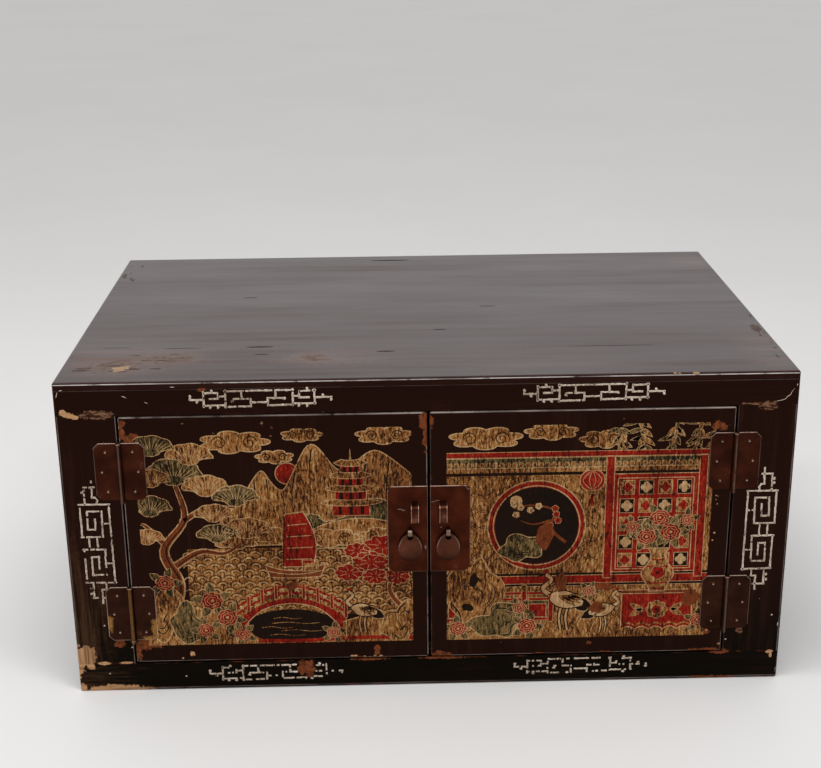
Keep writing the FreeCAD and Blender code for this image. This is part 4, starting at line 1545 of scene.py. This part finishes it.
@dataclass
class DoorPicture:
    """Painted field of one door: its place on the front and the motifs that the two designs share.

    A motif starts in a layer, and its parts lie in layers a little above that one. Its points count from the field's
    lower left corner. A worn spot is the X and Z of its middle on the front, then its two radii.
    """

    side: str
    corner: Point2
    width: float
    height: float
    worn: tuple[Row, ...]
    worn_layer: float = 18
    lift: float = 0.02
    reliefs: dict[Paint, Relief] = field(default_factory=dict)

    def put(self, paint: Paint, layer: float, grid: Array, closed: bool = False) -> None:
        """Adds a grid in one paint, cut off at the field's border."""
        cut = np.clip(grid, 0, (self.width, self.height)) + self.corner
        self.reliefs.setdefault(paint, Relief(self.lift)).add(cut, layer, closed)

    def fill(self, paint: Paint, layer: float, grid: Array, line: float, rim: Paint = PALE) -> None:
        """Adds a grid in one paint with a thin line round it.

        Args:
            paint: paint of the grid.
            layer: its first layer.
            grid: rows and columns of points.
            line: width of the line, or 0 for none.
            rim: paint of the line.
        """
        self.put(paint, layer, grid)
        if line:
            self.put(rim, layer + 0.4, ribbon(border(grid), line, True), True)

    def stroke(self, paint: Paint, layer: float, points: Line, width: float, tip: float = 1) -> None:
        """Adds a brush stroke along a smooth path, its width going evenly to a share of it at the tip."""
        path = curve(points, max(6, 5 * len(points)))
        self.put(paint, layer, ribbon(path, width * np.linspace(1, tip, len(path))))

    def quad(self, paint: Paint, layer: float, low: Point2, high: Point2, line: float = 0) -> None:
        """Adds an upright rectangle between two corners, with a line round it where one is given."""
        x = low[0] + (high[0] - low[0]) * shares(2, 0.01)
        self.fill(paint, layer, band(pairs(x, low[1]), pairs(x, high[1]), 2, 0.01), line)

    def leaf(
        self, paint: Paint, layer: float, root: Spot, tip: Spot, breadth: float, line: float = 0.7, rim: Paint = PALE
    ) -> None:
        """Adds a pointed leaf: two arcs from root to tip whose distance from the chord goes as a half sine.

        Args:
            paint: paint of the leaf.
            layer: its first layer.
            root: where it begins.
            tip: where it ends.
            breadth: its greatest width.
            line: width of the line round it.
            rim: paint of that line.
        """
        t = np.linspace(0, 1, 9)[:, None]
        way = np.subtract(tip, root)
        spine = root + t * way
        across = np.array([-way[1], way[0]]) / max(np.linalg.norm(way), 1e-6) * breadth * 0.5 * np.sin(np.pi * t**0.8)
        self.fill(paint, layer, band(spine - across, spine + across, 2, 0.05), line, rim)

    def rock(self, layer: float, centre: Point2, radii: Point2, seed: int, paint: Paint = GILT) -> None:
        """Adds a craggy rock: an uneven blob with folds that repeat parts of its outline further in.

        Args:
            layer: its first layer.
            centre: its middle.
            radii: half of its width and height.
            seed: start of its random numbers.
            paint: its paint.
        """
        swell = uneven(seed, 0.2)
        self.fill(paint, layer, blob(centre, radii, 13, swell), 1.4)
        rng = np.random.default_rng(seed)
        for share in (0.3, 0.5, 0.68, 0.84):
            start = rng.uniform(0, 2 * np.pi)
            angle = np.linspace(start, start + rng.uniform(1.2, 2.4), 16)
            fold = around(angle, radii) * (share * swell(angle))[:, None]
            self.put(INK, layer + 0.6, ribbon(fold + centre, np.linspace(2.6, 0.6, 16)))
            self.put(PALE, layer + 0.5, ribbon(0.96 * fold + centre, np.linspace(1.4, 0.4, 16)))

    def ground(self, layer: float, points: Line, base: float) -> None:
        """Adds a bank of gilt ground: the band between a level base and a smooth upper line."""
        top = curve(points, 40)
        self.fill(GILT, layer, band(pairs(top[:, 0], base), top, 4, 0.01), 1.4)

    def ridge(self, layer: float, points: Line, base: float, paint: Paint, seed: int) -> None:
        """Adds a mountain: a band up to a jagged line, with folds running down from it.

        Args:
            layer: its first layer.
            points: points of its upper line.
            base: height of its foot.
            paint: its paint.
            seed: start of its random numbers.
        """
        rng = np.random.default_rng(seed)
        top = curve(points, 60) + pairs(0, waver(rng, 60, 2.4))
        self.fill(paint, layer, band(pairs(top[:, 0], base), top, 4, 0.01), 1.5)
        for x, z in top[4:57:5]:
            drop = (z - base) * rng.uniform(0.35, 0.8)
            lean = rng.uniform(-7, 7)
            fold = ((x, z - 3), (x + lean, z - 0.5 * drop), (x + 0.6 * lean, z - drop))
            self.stroke(INK, layer + 0.5, fold, 2.2, 0.2)
            self.stroke(PALE, layer + 0.6, ((x + 1.8, z - 4), (x + lean + 2, z - 0.5 * drop)), 1, 0.3)

    def clouds(self, layer: float, step: float, turn: int, rows: Iterable[Row]) -> None:
        """Adds lobed clouds with a scroll in each half: a spiral whose radius shrinks evenly with its angle.

        Args:
            layer: layer of the first one.
            step: layers from one to the next.
            turn: angle of the first one's lobes, which grows by 1 from one to the next.
            rows: X and Z of each middle, and half of its width and height.
        """
        angle = np.linspace(0, 3.4 * np.pi, 30)
        for n, (x, z, wide, tall) in enumerate(rows):
            base = layer + step * n
            self.fill(GILT, base, blob((x, z), (wide, tall), 15, lobes(7, 0.32, n + turn)), 1.5)
            reach = np.linspace(0.62, 0.08, 30) * min(tall, 0.5 * wide)
            for way in (-1, 1):
                spiral = around(angle, reach[:, None]) * (way, 1)
                middle = (x + way * 0.42 * wide, z - 0.05 * tall)
                self.put(INK, base + 0.6, ribbon(middle + spiral, np.linspace(1.6, 0.9, 30)))

    def waves(self, layer: float, low: Point2, high: Point2, step: float) -> None:
        """Adds gilt water with rows of small dark arches, each of two half rings, every other row half a step along.

        Args:
            layer: its first layer.
            low: lower left corner.
            high: upper right corner.
            step: distance from one arch to the next.
        """
        self.quad(GILT, layer, low, high)
        arc = around(np.linspace(0, np.pi, 8))
        for row, z in enumerate(np.arange(low[1], high[1] - 0.4 * step, 0.5 * step)):
            for x in np.arange(low[0] + (row % 2) * 0.5 * step, high[0], step):
                for share, paint in ((0.48, INK), (0.3, PALE), (0.18, INK)):
                    self.put(paint, layer + 0.3, ribbon((x, z) + arc * step * share * (1, 0.8), 1.2))

    def needles(self, layer: float, centre: Point2, radii: Point2, paint: Paint) -> None:
        """Adds a pad of pine needles: a low half disc with rays from the middle of its foot.

        Args:
            layer: its first layer.
            centre: its middle.
            radii: half of its width and height.
            paint: its paint.
        """
        pad = blob(centre, radii, 11, lambda a: np.where(np.sin(a) < 0, 0.45, 1) * lobes(9, 0.1)(a))
        self.fill(paint, layer, pad, 1.2)
        foot = np.array(centre) - (0, 0.35 * radii[1])
        for angle in np.linspace(0.12, np.pi - 0.12, 13):
            tip = centre + around(angle, radii) * 0.93
            self.stroke(PALE, layer + 0.5, (foot + 0.25 * (tip - foot), tip), 1, 0.7)

    def peony(self, layer: float, centre: Point2, radius: float, turn: float) -> None:
        """Adds an open flower: lobed blobs one in another, with leaves behind.

        Args:
            layer: its first layer.
            centre: its middle.
            radius: its radius.
            turn: angle that it is turned by.
        """
        for angle in turn + np.array([0.4, 1.7, 3, 4.2, 5.4]):
            way = around(angle)
            self.leaf(GREEN, layer, centre + 0.6 * radius * way, centre + 1.9 * radius * way, 0.8 * radius)
        for n, (share, count) in enumerate(((1, 8), (0.72, 7), (0.45, 5))):
            petals = blob(centre, (share * radius, 0.9 * share * radius), 9, lobes(count, 0.2, turn + n))
            self.fill(RED, layer + 0.6 + 0.6 * n, petals, 0.9)
        self.put(PALE, layer + 2.6, blob(centre, 0.16 * radius, 3))

    def peonies(self, layer: float, step: float, turn: float, rows: Iterable[Point3], at: Point2 = (0, 0)) -> None:
        """Adds open flowers, each a step of layers over the last and turned by as much again.

        Args:
            layer: layer of the first one.
            step: layers from one to the next.
            turn: angle from one to the next.
            rows: X and Z of each middle, and its radius.
            at: point that the middles count from.
        """
        for n, (x, z, radius) in enumerate(rows):
            self.peony(layer + step * n, (at[0] + x, at[1] + z), radius, turn * n)

    def blossom(self, layer: float, centre: Spot, radius: float, paint: Paint) -> None:
        """Adds a small five-lobed blossom with a dark eye."""
        self.fill(paint, layer, blob(centre, radius, 5, lobes(5, 0.3, centre[0])), 0.6)
        self.put(INK, layer + 0.8, blob(centre, 0.25 * radius, 2))

    def bird(self, layer: float, foot: Point2, size: float, way: float) -> None:
        """Adds a long-legged wading bird: lens-shaped body and feathers, and strokes for its neck and legs.

        Args:
            layer: its first layer.
            foot: where it stands.
            size: its height.
            way: 1 if it looks to the right, -1 to the left.
        """

        def at(x: float, z: float) -> Point2:
            """Point of the bird in its own size, from its foot."""
            return (foot[0] + way * size * x, foot[1] + size * z)

        neck = (at(0.24, 0.6), at(0.36, 0.72), at(0.24, 0.86), at(0.33, 0.97))
        for width, paint, up in ((0.07, INK, 0), (0.035, PALE, 0.2)):
            for x in (-0.02, 0.08):
                self.stroke(paint, layer + up, (at(x, 0), at(x + 0.03, 0.22), at(x, 0.42)), width * size)
            self.stroke(paint, layer + up, neck, 0.05 * size + width * size, 0.7)
        self.leaf(INK, layer + 0.2, at(-0.08, 0.52), at(-0.42, 0.34), 0.22 * size, 1)
        self.leaf(PALE, layer + 0.6, at(0.3, 0.6), at(-0.32, 0.44), 0.3 * size, 1.6, INK)
        for n in range(4):
            root, tip = at(0.12 - 0.05 * n, 0.6), at(-0.14 - 0.06 * n, 0.42 + 0.05 * n)
            self.leaf(GILT, layer + 1.2, root, tip, 0.07 * size, 0.8, INK)
        self.stroke(INK, layer + 1, (at(0.31, 0.96), at(0.46, 0.92)), 0.04 * size, 0.3)
        self.put(RED, layer + 1.2, blob(at(0.32, 1), (0.045 * size, 0.035 * size), 3))

    def finish(self) -> None:
        """Adds the worn spots and makes one piece of each paint, riding on its door."""
        for n, (x, z, *radii) in enumerate(self.worn):
            self.put(WORN, self.worn_layer, blob(np.subtract((x, z), self.corner), radii, 17, uneven(40 + n, 0.1)))
        for paint, relief in self.reliefs.items():
            name = f"{self.side}_picture_{paint.value}"
            coat = PAINTS[paint]
            known = bpy.data.materials.get(f"{paint.value}_paint")
            piece = relief.build(name, known or coat.material(f"{paint.value}_paint"))
            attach(piece, f"{self.side}_door")
            log.info("%s has %d points", name, relief.count)


@dataclass
class HillLake(DoorPicture):
    """Design of the left door: hills with a tower and the sun, a boat on a lake, a pine, a bridge and flowers."""

    side: str = "left"
    corner: Point2 = (-358, 64.5)
    width: float = 337
    height: float = 292.5
    worn: tuple[Row, ...] = ((-173, 145, 8, 6),)

    def tower(self, layer: float, foot: Point2, width: float, tiers: int) -> None:
        """Adds a tiered tower: each tier a red wall under a roof whose eaves turn up at both ends.

        Args:
            layer: its first layer.
            foot: middle of its base.
            width: width of its lowest wall.
            tiers: number of tiers.
        """
        x, z = foot
        t = np.linspace(-1, 1, 17)
        for n in range(tiers):
            half = 0.5 * width * (1 - 0.16 * n)
            tall = 15 - 1.2 * n
            self.quad(RED, layer, (x - half, z), (x + half, z + tall), 0.8)
            for middle in (x - 0.6 * half, x, x + 0.6 * half):
                self.quad(INK, layer + 0.4, (middle - 2, z + 1.5), (middle + 2, z + tall - 2.5))
            eave = pairs(x + 1.7 * half * t, z + tall - 2 + 5 * np.abs(t) ** 3)
            crest = pairs(x + 0.9 * half * t, z + tall + 6 + 1.5 * np.abs(t) ** 3)
            self.fill(GILT, layer + 0.8, band(eave, crest, 3, 0.03), 1.1)
            for line in zip(eave[2:15:2], crest[2:15:2]):
                self.stroke(INK, layer + 1.4, line, 0.8)
            z += tall + 5
        self.stroke(PALE, layer + 1.4, ((x, z), (x, z + 8), (x, z + 16)), 3.2, 0.2)

    def bridge(self, layer: float, start: Point2, end: Point2, rise: float) -> None:
        """Adds an arched bridge: the deck follows a parabola, with red boards below it and a railing above.

        Args:
            layer: its first layer.
            start: left end of the deck.
            end: right end of the deck.
            rise: height of the middle over the ends.
        """
        t = np.linspace(0, 1, 33)
        bow = 1 - (2 * t - 1) ** 2
        deck = pairs(start[0] + t * (end[0] - start[0]), start[1] + t * (end[1] - start[1]) + rise * bow)
        under = deck - pairs(0, 9 + 26 * (1 - np.clip(1.35 * bow, 0, 1) ** 0.5))
        self.fill(RED, layer, band(under, deck, 4, 0.02), 1.4)
        for line in zip(under[2:32:3], deck[2:32:3]):
            self.stroke(INK, layer + 0.6, line, 0.9)
        self.put(GILT, layer + 0.7, ribbon(deck, 3.6))
        for lift in (6, 15):
            self.put(RED, layer + 0.9, ribbon(deck + (0, lift), 3.2))
        for x, z in deck[::4]:
            self.quad(RED, layer + 1.1, (x - 1.8, z - 1), (x + 1.8, z + 20), 0.7)
        for x, z in deck[2::4]:
            self.quad(PALE, layer + 1, (x - 2.6, z + 8), (x + 2.6, z + 13))

    def boat(self, layer: float, at: Point2, size: float, sail: Paint) -> None:
        """Adds a sailing boat: a hull between two bowed lines and a battened sail that bellies out.

        Args:
            layer: its first layer.
            at: middle of its waterline.
            size: length of its hull.
            sail: colour of its sail.
        """
        x, z = at
        t = np.linspace(-1, 1, 17)
        keel = pairs(x + 0.42 * size * t, z + 0.02 * size * t**2)
        sheer = pairs(x + 0.5 * size * t, z + 0.13 * size + 0.12 * size * t**2)
        self.fill(WORN, layer, band(keel, sheer, 3, 0.04), 1.2)
        self.put(PALE, layer + 0.6, ribbon(0.5 * (keel + sheer), 1.2))
        self.quad(GILT, layer + 0.7, (x + 0.12 * size, z + 0.12 * size), (x + 0.38 * size, z + 0.32 * size), 1)
        s = np.linspace(0, 1, 15)
        mast = pairs(x - 0.2 * size + 0.06 * size * s, z + (0.2 + 0.95 * s) * size)
        leech = mast + pairs(size * (0.5 - 0.2 * s + 0.12 * np.sin(np.pi * s)), 0.04 * size * s)
        self.fill(sail, layer + 0.9, band(mast, leech, 4, 0.03), 1.2)
        for line in zip(mast[2:14:3], leech[2:14:3]):
            self.stroke(PALE, layer + 1.5, line, 1.3)
        self.stroke(INK, layer + 1.7, (mast[0] - (0, 0.1 * size), mast[-1] + (0, 0.06 * size)), 1.8)

    def pine(self, layer: float) -> None:
        """Adds a bent pine on the left: tapering trunk and boughs, and pads of needles on them.

        Args:
            layer: its first layer.
        """
        boughs = (
            (((26, 30), (44, 84), (28, 132), (56, 176), (46, 226)), 17, 0.3),
            (((36, 108), (72, 130), (104, 128), (132, 148)), 9, 0.3),
            (((50, 170), (84, 190), (118, 190)), 7, 0.3),
            (((30, 140), (10, 164), (2, 170)), 6, 0.4),
        )
        for points, width, tip in boughs:
            self.stroke(PALE, layer, points, width + 2.4, tip)
            self.stroke(WORN, layer + 0.3, points, width, tip)
            self.stroke(INK, layer + 0.6, np.array(points) + (2, 0), 0.16 * width, 0.4)
        pads = (
            (46, 232, 36, 26, GREEN), (84, 214, 30, 20, GILT), (14, 188, 28, 20, GREEN),
            (120, 200, 30, 20, GREEN), (132, 156, 32, 20, GILT), (96, 150, 28, 18, GREEN),
            (18, 226, 24, 17, GILT), (66, 256, 30, 20, GILT), (8, 148, 22, 15, GILT),
            (92, 178, 26, 17, GILT), (20, 268, 30, 19, GREEN),
        )
        for n, (x, z, wide, tall, paint) in enumerate(pads):
            self.needles(layer + 1 + 0.1 * n, (x, z), (wide, tall), paint)

    def maple(self, layer: float) -> None:
        """Adds a red maple on the right: a forked trunk under lobed red pads with pale veins.

        Args:
            layer: its first layer.
        """
        for points in (((330, 40), (308, 72), (316, 108), (300, 134)), ((312, 84), (282, 96), (262, 92))):
            self.stroke(PALE, layer, points, 9, 0.4)
            self.stroke(WORN, layer + 0.3, points, 7, 0.4)
        pads = (
            (284, 112, 24, 15), (258, 98, 19, 12), (300, 134, 25, 15), (268, 128, 17, 11), (318, 92, 16, 12),
            (290, 92, 17, 11),
        )
        for n, (x, z, wide, tall) in enumerate(pads):
            self.fill(RED, layer + 0.6 + 0.1 * n, blob((x, z), (wide, tall), 13, lobes(9, 0.22, n)), 1.2)
            for angle in np.linspace(0, 2 * np.pi, 8)[:-1] + n:
                way = around(angle, (0.8 * wide, 0.8 * tall))
                self.stroke(PALE, layer + 1.4, ((x, z) + 0.2 * way, (x, z) + way), 0.9, 0.6)

    def pond(self, layer: float) -> None:
        """Adds the dark water under the bridge, with gilt ripples on it.

        Args:
            layer: its first layer.
        """
        self.put(INK, layer, blob((182, 24), (56, 24), 13))
        for x, z, half in ((176, 11, 26), (196, 17, 30), (164, 22, 22), (188, 28, 34), (178, 35, 20)):
            ripple = ((x - half, z), (x - 0.3 * half, z + 1.6), (x + 0.4 * half, z - 0.8), (x + half, z + 0.6))
            self.stroke(GILT, layer + 0.1, ripple, 1.3, 0.4)

    def build(self) -> None:
        """Paints the design from far to near."""
        self.clouds(0.8, 0.2, 0, ((122, 276, 44, 15), (204, 284, 26, 9), (304, 282, 36, 12), (170, 256, 24, 9)))
        self.fill(RED, 0.6, blob((184, 234), 14, 11), 1.4)
        peaks = ((92, 160), (128, 206), (152, 236), (180, 214), (214, 272), (250, 236), (290, 262), (340, 228))
        self.ridge(1.8, peaks, 138, GILT, 11)
        self.ridge(3, ((176, 150), (210, 180), (240, 168), (286, 200), (340, 178)), 132, GREEN, 12)
        self.tower(4.2, (262, 176), 46, 4)
        self.ground(4.4, ((196, 148), (232, 166), (280, 172), (340, 160)), 136)
        self.waves(0.6, (56, 40), (340, 134), 17)
        self.clouds(5.8, 0.2, 0, ((172, 150, 32, 12), (236, 146, 40, 13), (302, 148, 34, 12), (118, 144, 30, 11)))
        self.boat(6.8, (190, 92), 76, RED)
        self.pine(6.6)
        bank = (
            (-2, 70), (30, 62), (62, 52), (96, 44), (124, 30), (170, 14), (214, 12), (246, 28), (290, 40), (340, 46),
        )
        self.ground(8.2, bank, -2)
        self.pond(8.8)
        self.bridge(9, (112, 34), (252, 36), 30)
        self.maple(9.4)
        self.rock(11.4, (18, 44), (27, 36), 21)
        self.rock(11.9, (52, 28), (24, 24), 22, GREEN)
        self.rock(11.4, (322, 26), (26, 26), 23)
        self.bird(12.4, (276, 12), 62, -1)
        flowers = ((84, 62, 14), (102, 38, 13), (74, 20, 11), (26, 88, 12), (120, 14, 10), (236, 14, 9))
        self.peonies(12.6, 0.1, 0.7, flowers)
        self.stroke(RED, 9, ((130, 4), (200, 3), (270, 6), (340, 4)), 6)
        self.finish()


@dataclass
class GardenTerrace(DoorPicture):
    """Design of the right door: a garden wall with a round gate, a lattice screen, rocks, bamboo and a vase."""

    side: str = "right"
    corner: Point2 = (22, 64)
    width: float = 329
    height: float = 292
    worn: tuple[Row, ...] = (
        (144.7, 208, 11, 18),
        (166, 143, 7, 14),
        (212, 107, 8, 8),
        (331, 118, 11, 12),
        (222, 136, 12, 6),
    )
    reach: Point2 = (-2, 332)

    def strip(self, paint: Paint, layer: float, low: float, high: float, line: float = 0) -> None:
        """Adds a strip over the whole width between two heights, with a line round it where one is given."""
        self.quad(paint, layer, (self.reach[0], low), (self.reach[1], high), line)

    def gate(self, layer: float, centre: Point2, radius: float) -> None:
        """Adds a round gate: a dark disc in rings of paint, with a blossoming branch and a rock behind it.

        Args:
            layer: its first layer.
            centre: its middle.
            radius: radius of the opening.
        """
        self.fill(RED, layer, blob(centre, radius + 7, 15), 1.6)
        self.fill(INK, layer + 0.6, blob(centre, radius, 15), 1.8)
        x, z = centre
        self.rock(layer + 1.2, (x - 18, z - 0.55 * radius), (26, 19), 31, GREEN)
        root = (x + 0.75 * radius, z - 0.5 * radius)
        branch = (root, (x + 18, z - 4), (x + 22, z + 20), (x - 8, z + 28), (x - 30, z + 22))
        self.stroke(WORN, layer + 1.4, branch, 5, 0.3)
        self.stroke(WORN, layer + 1.4, ((x + 20, z + 8), (x - 4, z + 2), (x - 22, z + 8)), 3.4, 0.3)
        rng = np.random.default_rng(33)
        for share in np.linspace(0.3, 1, 9):
            spot = curve(branch, 40)[int(39 * share)] + rng.uniform(-7, 7, 2)
            self.blossom(layer + 2, spot, 4.6, RED if share < 0.6 else PALE)
        self.put(PALE, layer + 1, blob((x - 26, z + 0.62 * radius), 8, 5))

    def screen(self, layer: float, low: Point2, high: Point2, count: tuple[int, int]) -> None:
        """Adds a red lattice screen: rows of framed cells, each with a small lozenge.

        Args:
            layer: its first layer.
            low: lower left corner.
            high: upper right corner.
            count: number of cells across and up.
        """
        self.quad(RED, layer, low, high, 1.4)
        wide, tall = (high[0] - low[0]) / count[0], (high[1] - low[1]) / count[1]
        for i in range(count[0]):
            for j in range(count[1]):
                cell, lozenge = (INK, PALE) if (i + j) % 2 else (GILT, RED)
                corner = (low[0] + i * wide + 3, low[1] + j * tall + 3)
                far = (corner[0] + wide - 6, corner[1] + tall - 6)
                self.quad(cell, layer + 0.5, corner, far, 0.9)
                middle = 0.5 * np.add(corner, far)
                self.fill(lozenge, layer + 1, blob(middle, (0.3 * wide, 0.3 * tall), 5, lobes(4, 0.35)), 0.8)

    def railing(self, layer: float, low: Point2, high: Point2, bays: int) -> None:
        """Adds a garden railing: posts, three rails and a panel in each bay.

        Args:
            layer: its first layer.
            low: lower left corner.
            high: upper right corner.
            bays: number of bays.
        """
        panel = high[1] - 0.3 * (high[1] - low[1])
        posts = np.linspace(low[0], high[0], bays + 1)
        for left, right in zip(posts[:-1], posts[1:]):
            self.quad(GREEN, layer, (left, low[1]), (right, panel), 0.8)
            self.quad(RED, layer + 0.5, (left + 6, low[1] + 5), (right - 6, panel - 5), 1)
        for z in (low[1], panel, high[1] - 3.5):
            self.quad(RED, layer + 0.8, (low[0] - 3, z), (high[0] + 3, z + 3.8), 0.6)
        for x in posts:
            self.quad(RED, layer + 1.2, (x - 3, low[1] - 2), (x + 3, high[1] + 3), 0.8)
            self.fill(GILT, layer + 1.6, blob((x, high[1] + 6), (4.2, 4.6), 5), 0.8)

    def vase(self, layer: float, foot: Point2, tall: float) -> None:
        """Adds a vase of flowers: its half width follows a belly, a neck and a flared lip up its height.

        Args:
            layer: its first layer.
            foot: middle of its base.
            tall: height of the vase.
        """
        x, z = foot
        mouth = np.array([x, z + tall])
        rng = np.random.default_rng(35)
        for _ in range(11):
            way = np.array([rng.uniform(-34, 34), rng.uniform(20, 52)])
            tip = mouth + way
            bend = 0.5 * (tip + mouth) + (0.1 * way[0], 5)
            self.stroke(GREEN, layer, (mouth - (0, 4), bend, tip), 1.8, 0.6)
            end = tip - 0.2 * way + (9 * np.sign(way[0]), 8)
            self.leaf(GREEN, layer + 0.2, tip - 0.5 * way, end, 7)
        flowers = ((-16, 16, 12), (14, 22, 13), (0, 42, 12), (-34, 30, 9), (34, 38, 9))
        self.peonies(layer + 0.4, 0.05, 0.9, flowers, (x, z + tall))
        t = np.linspace(0, 1, 25)
        belly = 0.2 * np.exp(-(((t - 0.42) / 0.24) ** 2))
        half = tall * (0.16 + belly - 0.04 * t + 0.1 * np.clip(t - 0.86, 0, 1) / 0.14)
        up = z + tall * t
        self.fill(GILT, layer + 3.4, band(pairs(x - half, up), pairs(x + half, up), 5, 0.03), 1.5)
        for share in (0.12, 0.24, 0.62, 0.78):
            i = int(24 * share)
            self.stroke(RED, layer + 4, ((x - half[i], up[i]), (x, up[i] - 1.2), (x + half[i], up[i])), 2.2)
        self.blossom(layer + 4, (x, z + 0.43 * tall), 0.16 * tall, RED)

    def table(self, layer: float, low: Point2, high: Point2) -> None:
        """Adds a table under a red cloth: the hem is waved, and a gilt medallion sits between two leaves a side.

        Args:
            layer: its first layer.
            low: lower left corner.
            high: upper right corner.
        """
        x = np.linspace(low[0], high[0], 41)
        hem = pairs(x, low[1] + 4 * np.abs(np.sin(5 * np.pi * (x - low[0]) / (high[0] - low[0]))))
        self.fill(RED, layer, band(hem, pairs(x, high[1] - 3), 4, 0.03), 1.4)
        self.put(GILT, layer + 0.6, ribbon(hem + (0, 5), 2.6))
        self.quad(WORN, layer + 0.6, (low[0] - 5, high[1] - 5), (high[0] + 5, high[1]), 1.2)
        middle = 0.5 * np.add(low, high)
        self.fill(GILT, layer + 0.8, blob(middle, (14, 13), 11, lobes(8, 0.24)), 1)
        self.blossom(layer + 1.4, middle, 7, RED)
        for way in (-1, 1):
            for root, tip in ((-2, 9), (2, -9)):
                self.leaf(GILT, layer + 0.8, middle + (17 * way, root), middle + (34 * way, tip), 8)

    def bamboo(self, layer: float, stems: Iterable[Row]) -> None:
        """Adds bamboo: jointed stems, and sprays of narrow leaves that hang from their joints.

        Args:
            layer: its first layer.
            stems: X and Z of each root, then of each tip.
        """
        rng = np.random.default_rng(37)
        for n, stem in enumerate(stems):
            knots = np.linspace(stem[:2], stem[2:], 7)
            for low, high in zip(knots[:-1], knots[1:]):
                gap = 0.05 * (high - low)
                line = np.array([low + gap, high - gap])
                self.stroke(GREEN if n % 2 else GILT, layer, line, 5.2)
                self.stroke(PALE, layer + 0.3, line - (1.6, 0), 1.1)
            for knot in knots[2:]:
                for angle in rng.uniform(-2.6, -0.5, 4):
                    end = knot + rng.uniform(16, 27) * around(angle, (1, 0.75)) + (0, 4)
                    self.leaf(GILT if rng.uniform() < 0.6 else GREEN, layer + 0.8, knot, end, 5.6)

    def lantern(self, layer: float, top: Point2, size: float) -> None:
        """Adds a hanging lantern: a ribbed body between two caps, with a cord and a tassel.

        Args:
            layer: its first layer.
            top: upper end of its cord.
            size: height of its body.
        """
        x, z = top
        self.stroke(PALE, layer, ((x, z), (x, z - 0.5 * size)), 1.4)
        self.fill(RED, layer + 0.3, blob((x, z - size), (0.48 * size, 0.46 * size), 9), 1.2)
        for share in (-0.6, -0.2, 0.2, 0.6):
            rib = ((x, z - 0.56 * size), (x + 0.6 * share * size, z - size), (x, z - 1.44 * size))
            self.stroke(PALE, layer + 0.9, rib, 0.9)
        for middle in (z - 0.52 * size, z - 1.48 * size):
            self.quad(GILT, layer + 1.1, (x - 0.22 * size, middle - 2.2), (x + 0.22 * size, middle + 2.2), 0.7)
        for lean in (-2.4, 0, 2.4):
            self.stroke(RED, layer + 0.2, ((x, z - 1.5 * size), (x + lean, z - 2.1 * size)), 1.8)

    def wall(self, layer: float) -> None:
        """Adds the garden wall: a gilt field of dark rings under a coping with a row of round tiles.

        Args:
            layer: its first layer.
        """
        self.strip(GILT, layer, 92, 236)
        self.strip(GREEN, layer + 0.4, 236, 249, 1)
        for x in np.arange(4, 332, 8):
            self.fill(GILT, layer + 0.9, blob((x, 240), (3.2, 3.4), 3), 0.7)
        self.strip(RED, layer + 1, 250, 257, 0.8)
        self.strip(INK, layer + 1, 226, 230)
        for x in np.arange(-20, 200, 22):
            for z in (102, 124, 146, 168, 190, 212):
                self.put(INK, layer + 0.5, ribbon(border(blob((x, z), 12.5, 5)), 0.8, True), True)

    def paving(self, layer: float, low: float, high: float) -> None:
        """Adds a paved floor over the whole width: gilt between two levels, crossed by two sets of slanting joints.

        Args:
            layer: its first layer.
            low: lower level.
            high: upper level.
        """
        self.strip(GILT, layer, low, high, 1.4)
        deep = high - low
        for x in np.arange(self.reach[0] - deep, self.reach[1] + deep, 21):
            for lean in (-0.55, 0.55):
                self.stroke(INK, layer + 0.5, ((x, low), (x + lean * deep, high)), 0.9)

    def build(self) -> None:
        """Paints the design from far to near."""
        self.clouds(0.8, 0.1, 2, ((48, 276, 46, 15), (128, 283, 34, 11), (192, 272, 30, 12)))
        stems = (
            (252, 230, 236, 296), (276, 230, 282, 298), (300, 226, 312, 296), (226, 232, 210, 286),
            (322, 226, 332, 290),
        )
        self.bamboo(1.2, stems)
        self.wall(3)
        self.gate(4.2, (112, 158), 54)
        self.quad(RED, 4.6, (200, 92), (318, 226), 1)
        self.screen(5, (212, 96), (306, 220), (4, 5))
        for x in (197, 312):
            self.quad(RED, 6.4, (x, 84), (x + 10, 250), 1.2)
        self.lantern(6.8, (180, 250), 32)
        self.paving(3.2, -2, 74)
        self.strip(INK, 4.4, 74, 92)
        self.strip(RED, 4.8, 77.5, 88.5, 0.9)
        self.railing(6, (-4, 26), (132, 66), 4)
        self.rock(9, (34, 60), (30, 56), 41)
        self.rock(9.8, (66, 26), (30, 24), 42, GREEN)
        self.put(INK, 10, blob((34, 84), (6, 9), 5, uneven(43)))
        self.put(INK, 10, blob((26, 46), (7, 6), 5, uneven(44)))
        self.bird(9, (152, 10), 84, -1)
        self.bird(9.6, (196, 6), 62, 1)
        self.table(8.4, (222, 10), (312, 66))
        self.vase(9.6, (266, 64), 60)
        self.peonies(11.6, 0.1, 0.8, ((14, 16, 11), (102, 18, 12), (92, 44, 9), (320, 22, 10), (180, 66, 8)))
        self.finish()


def main() -> None:
    """Loads the frame and builds the cabinet's looks in order."""
    logging.basicConfig(level=logging.INFO, format="%(name)s: %(message)s")
    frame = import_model()
    Studio().build()
    Case(frame).build()
    Doors(frame).build()
    Metalwork(frame).build()
    KeyFrets().build()
    HillLake().build()
    GardenTerrace().build()


if __name__ == "__main__":
    main()
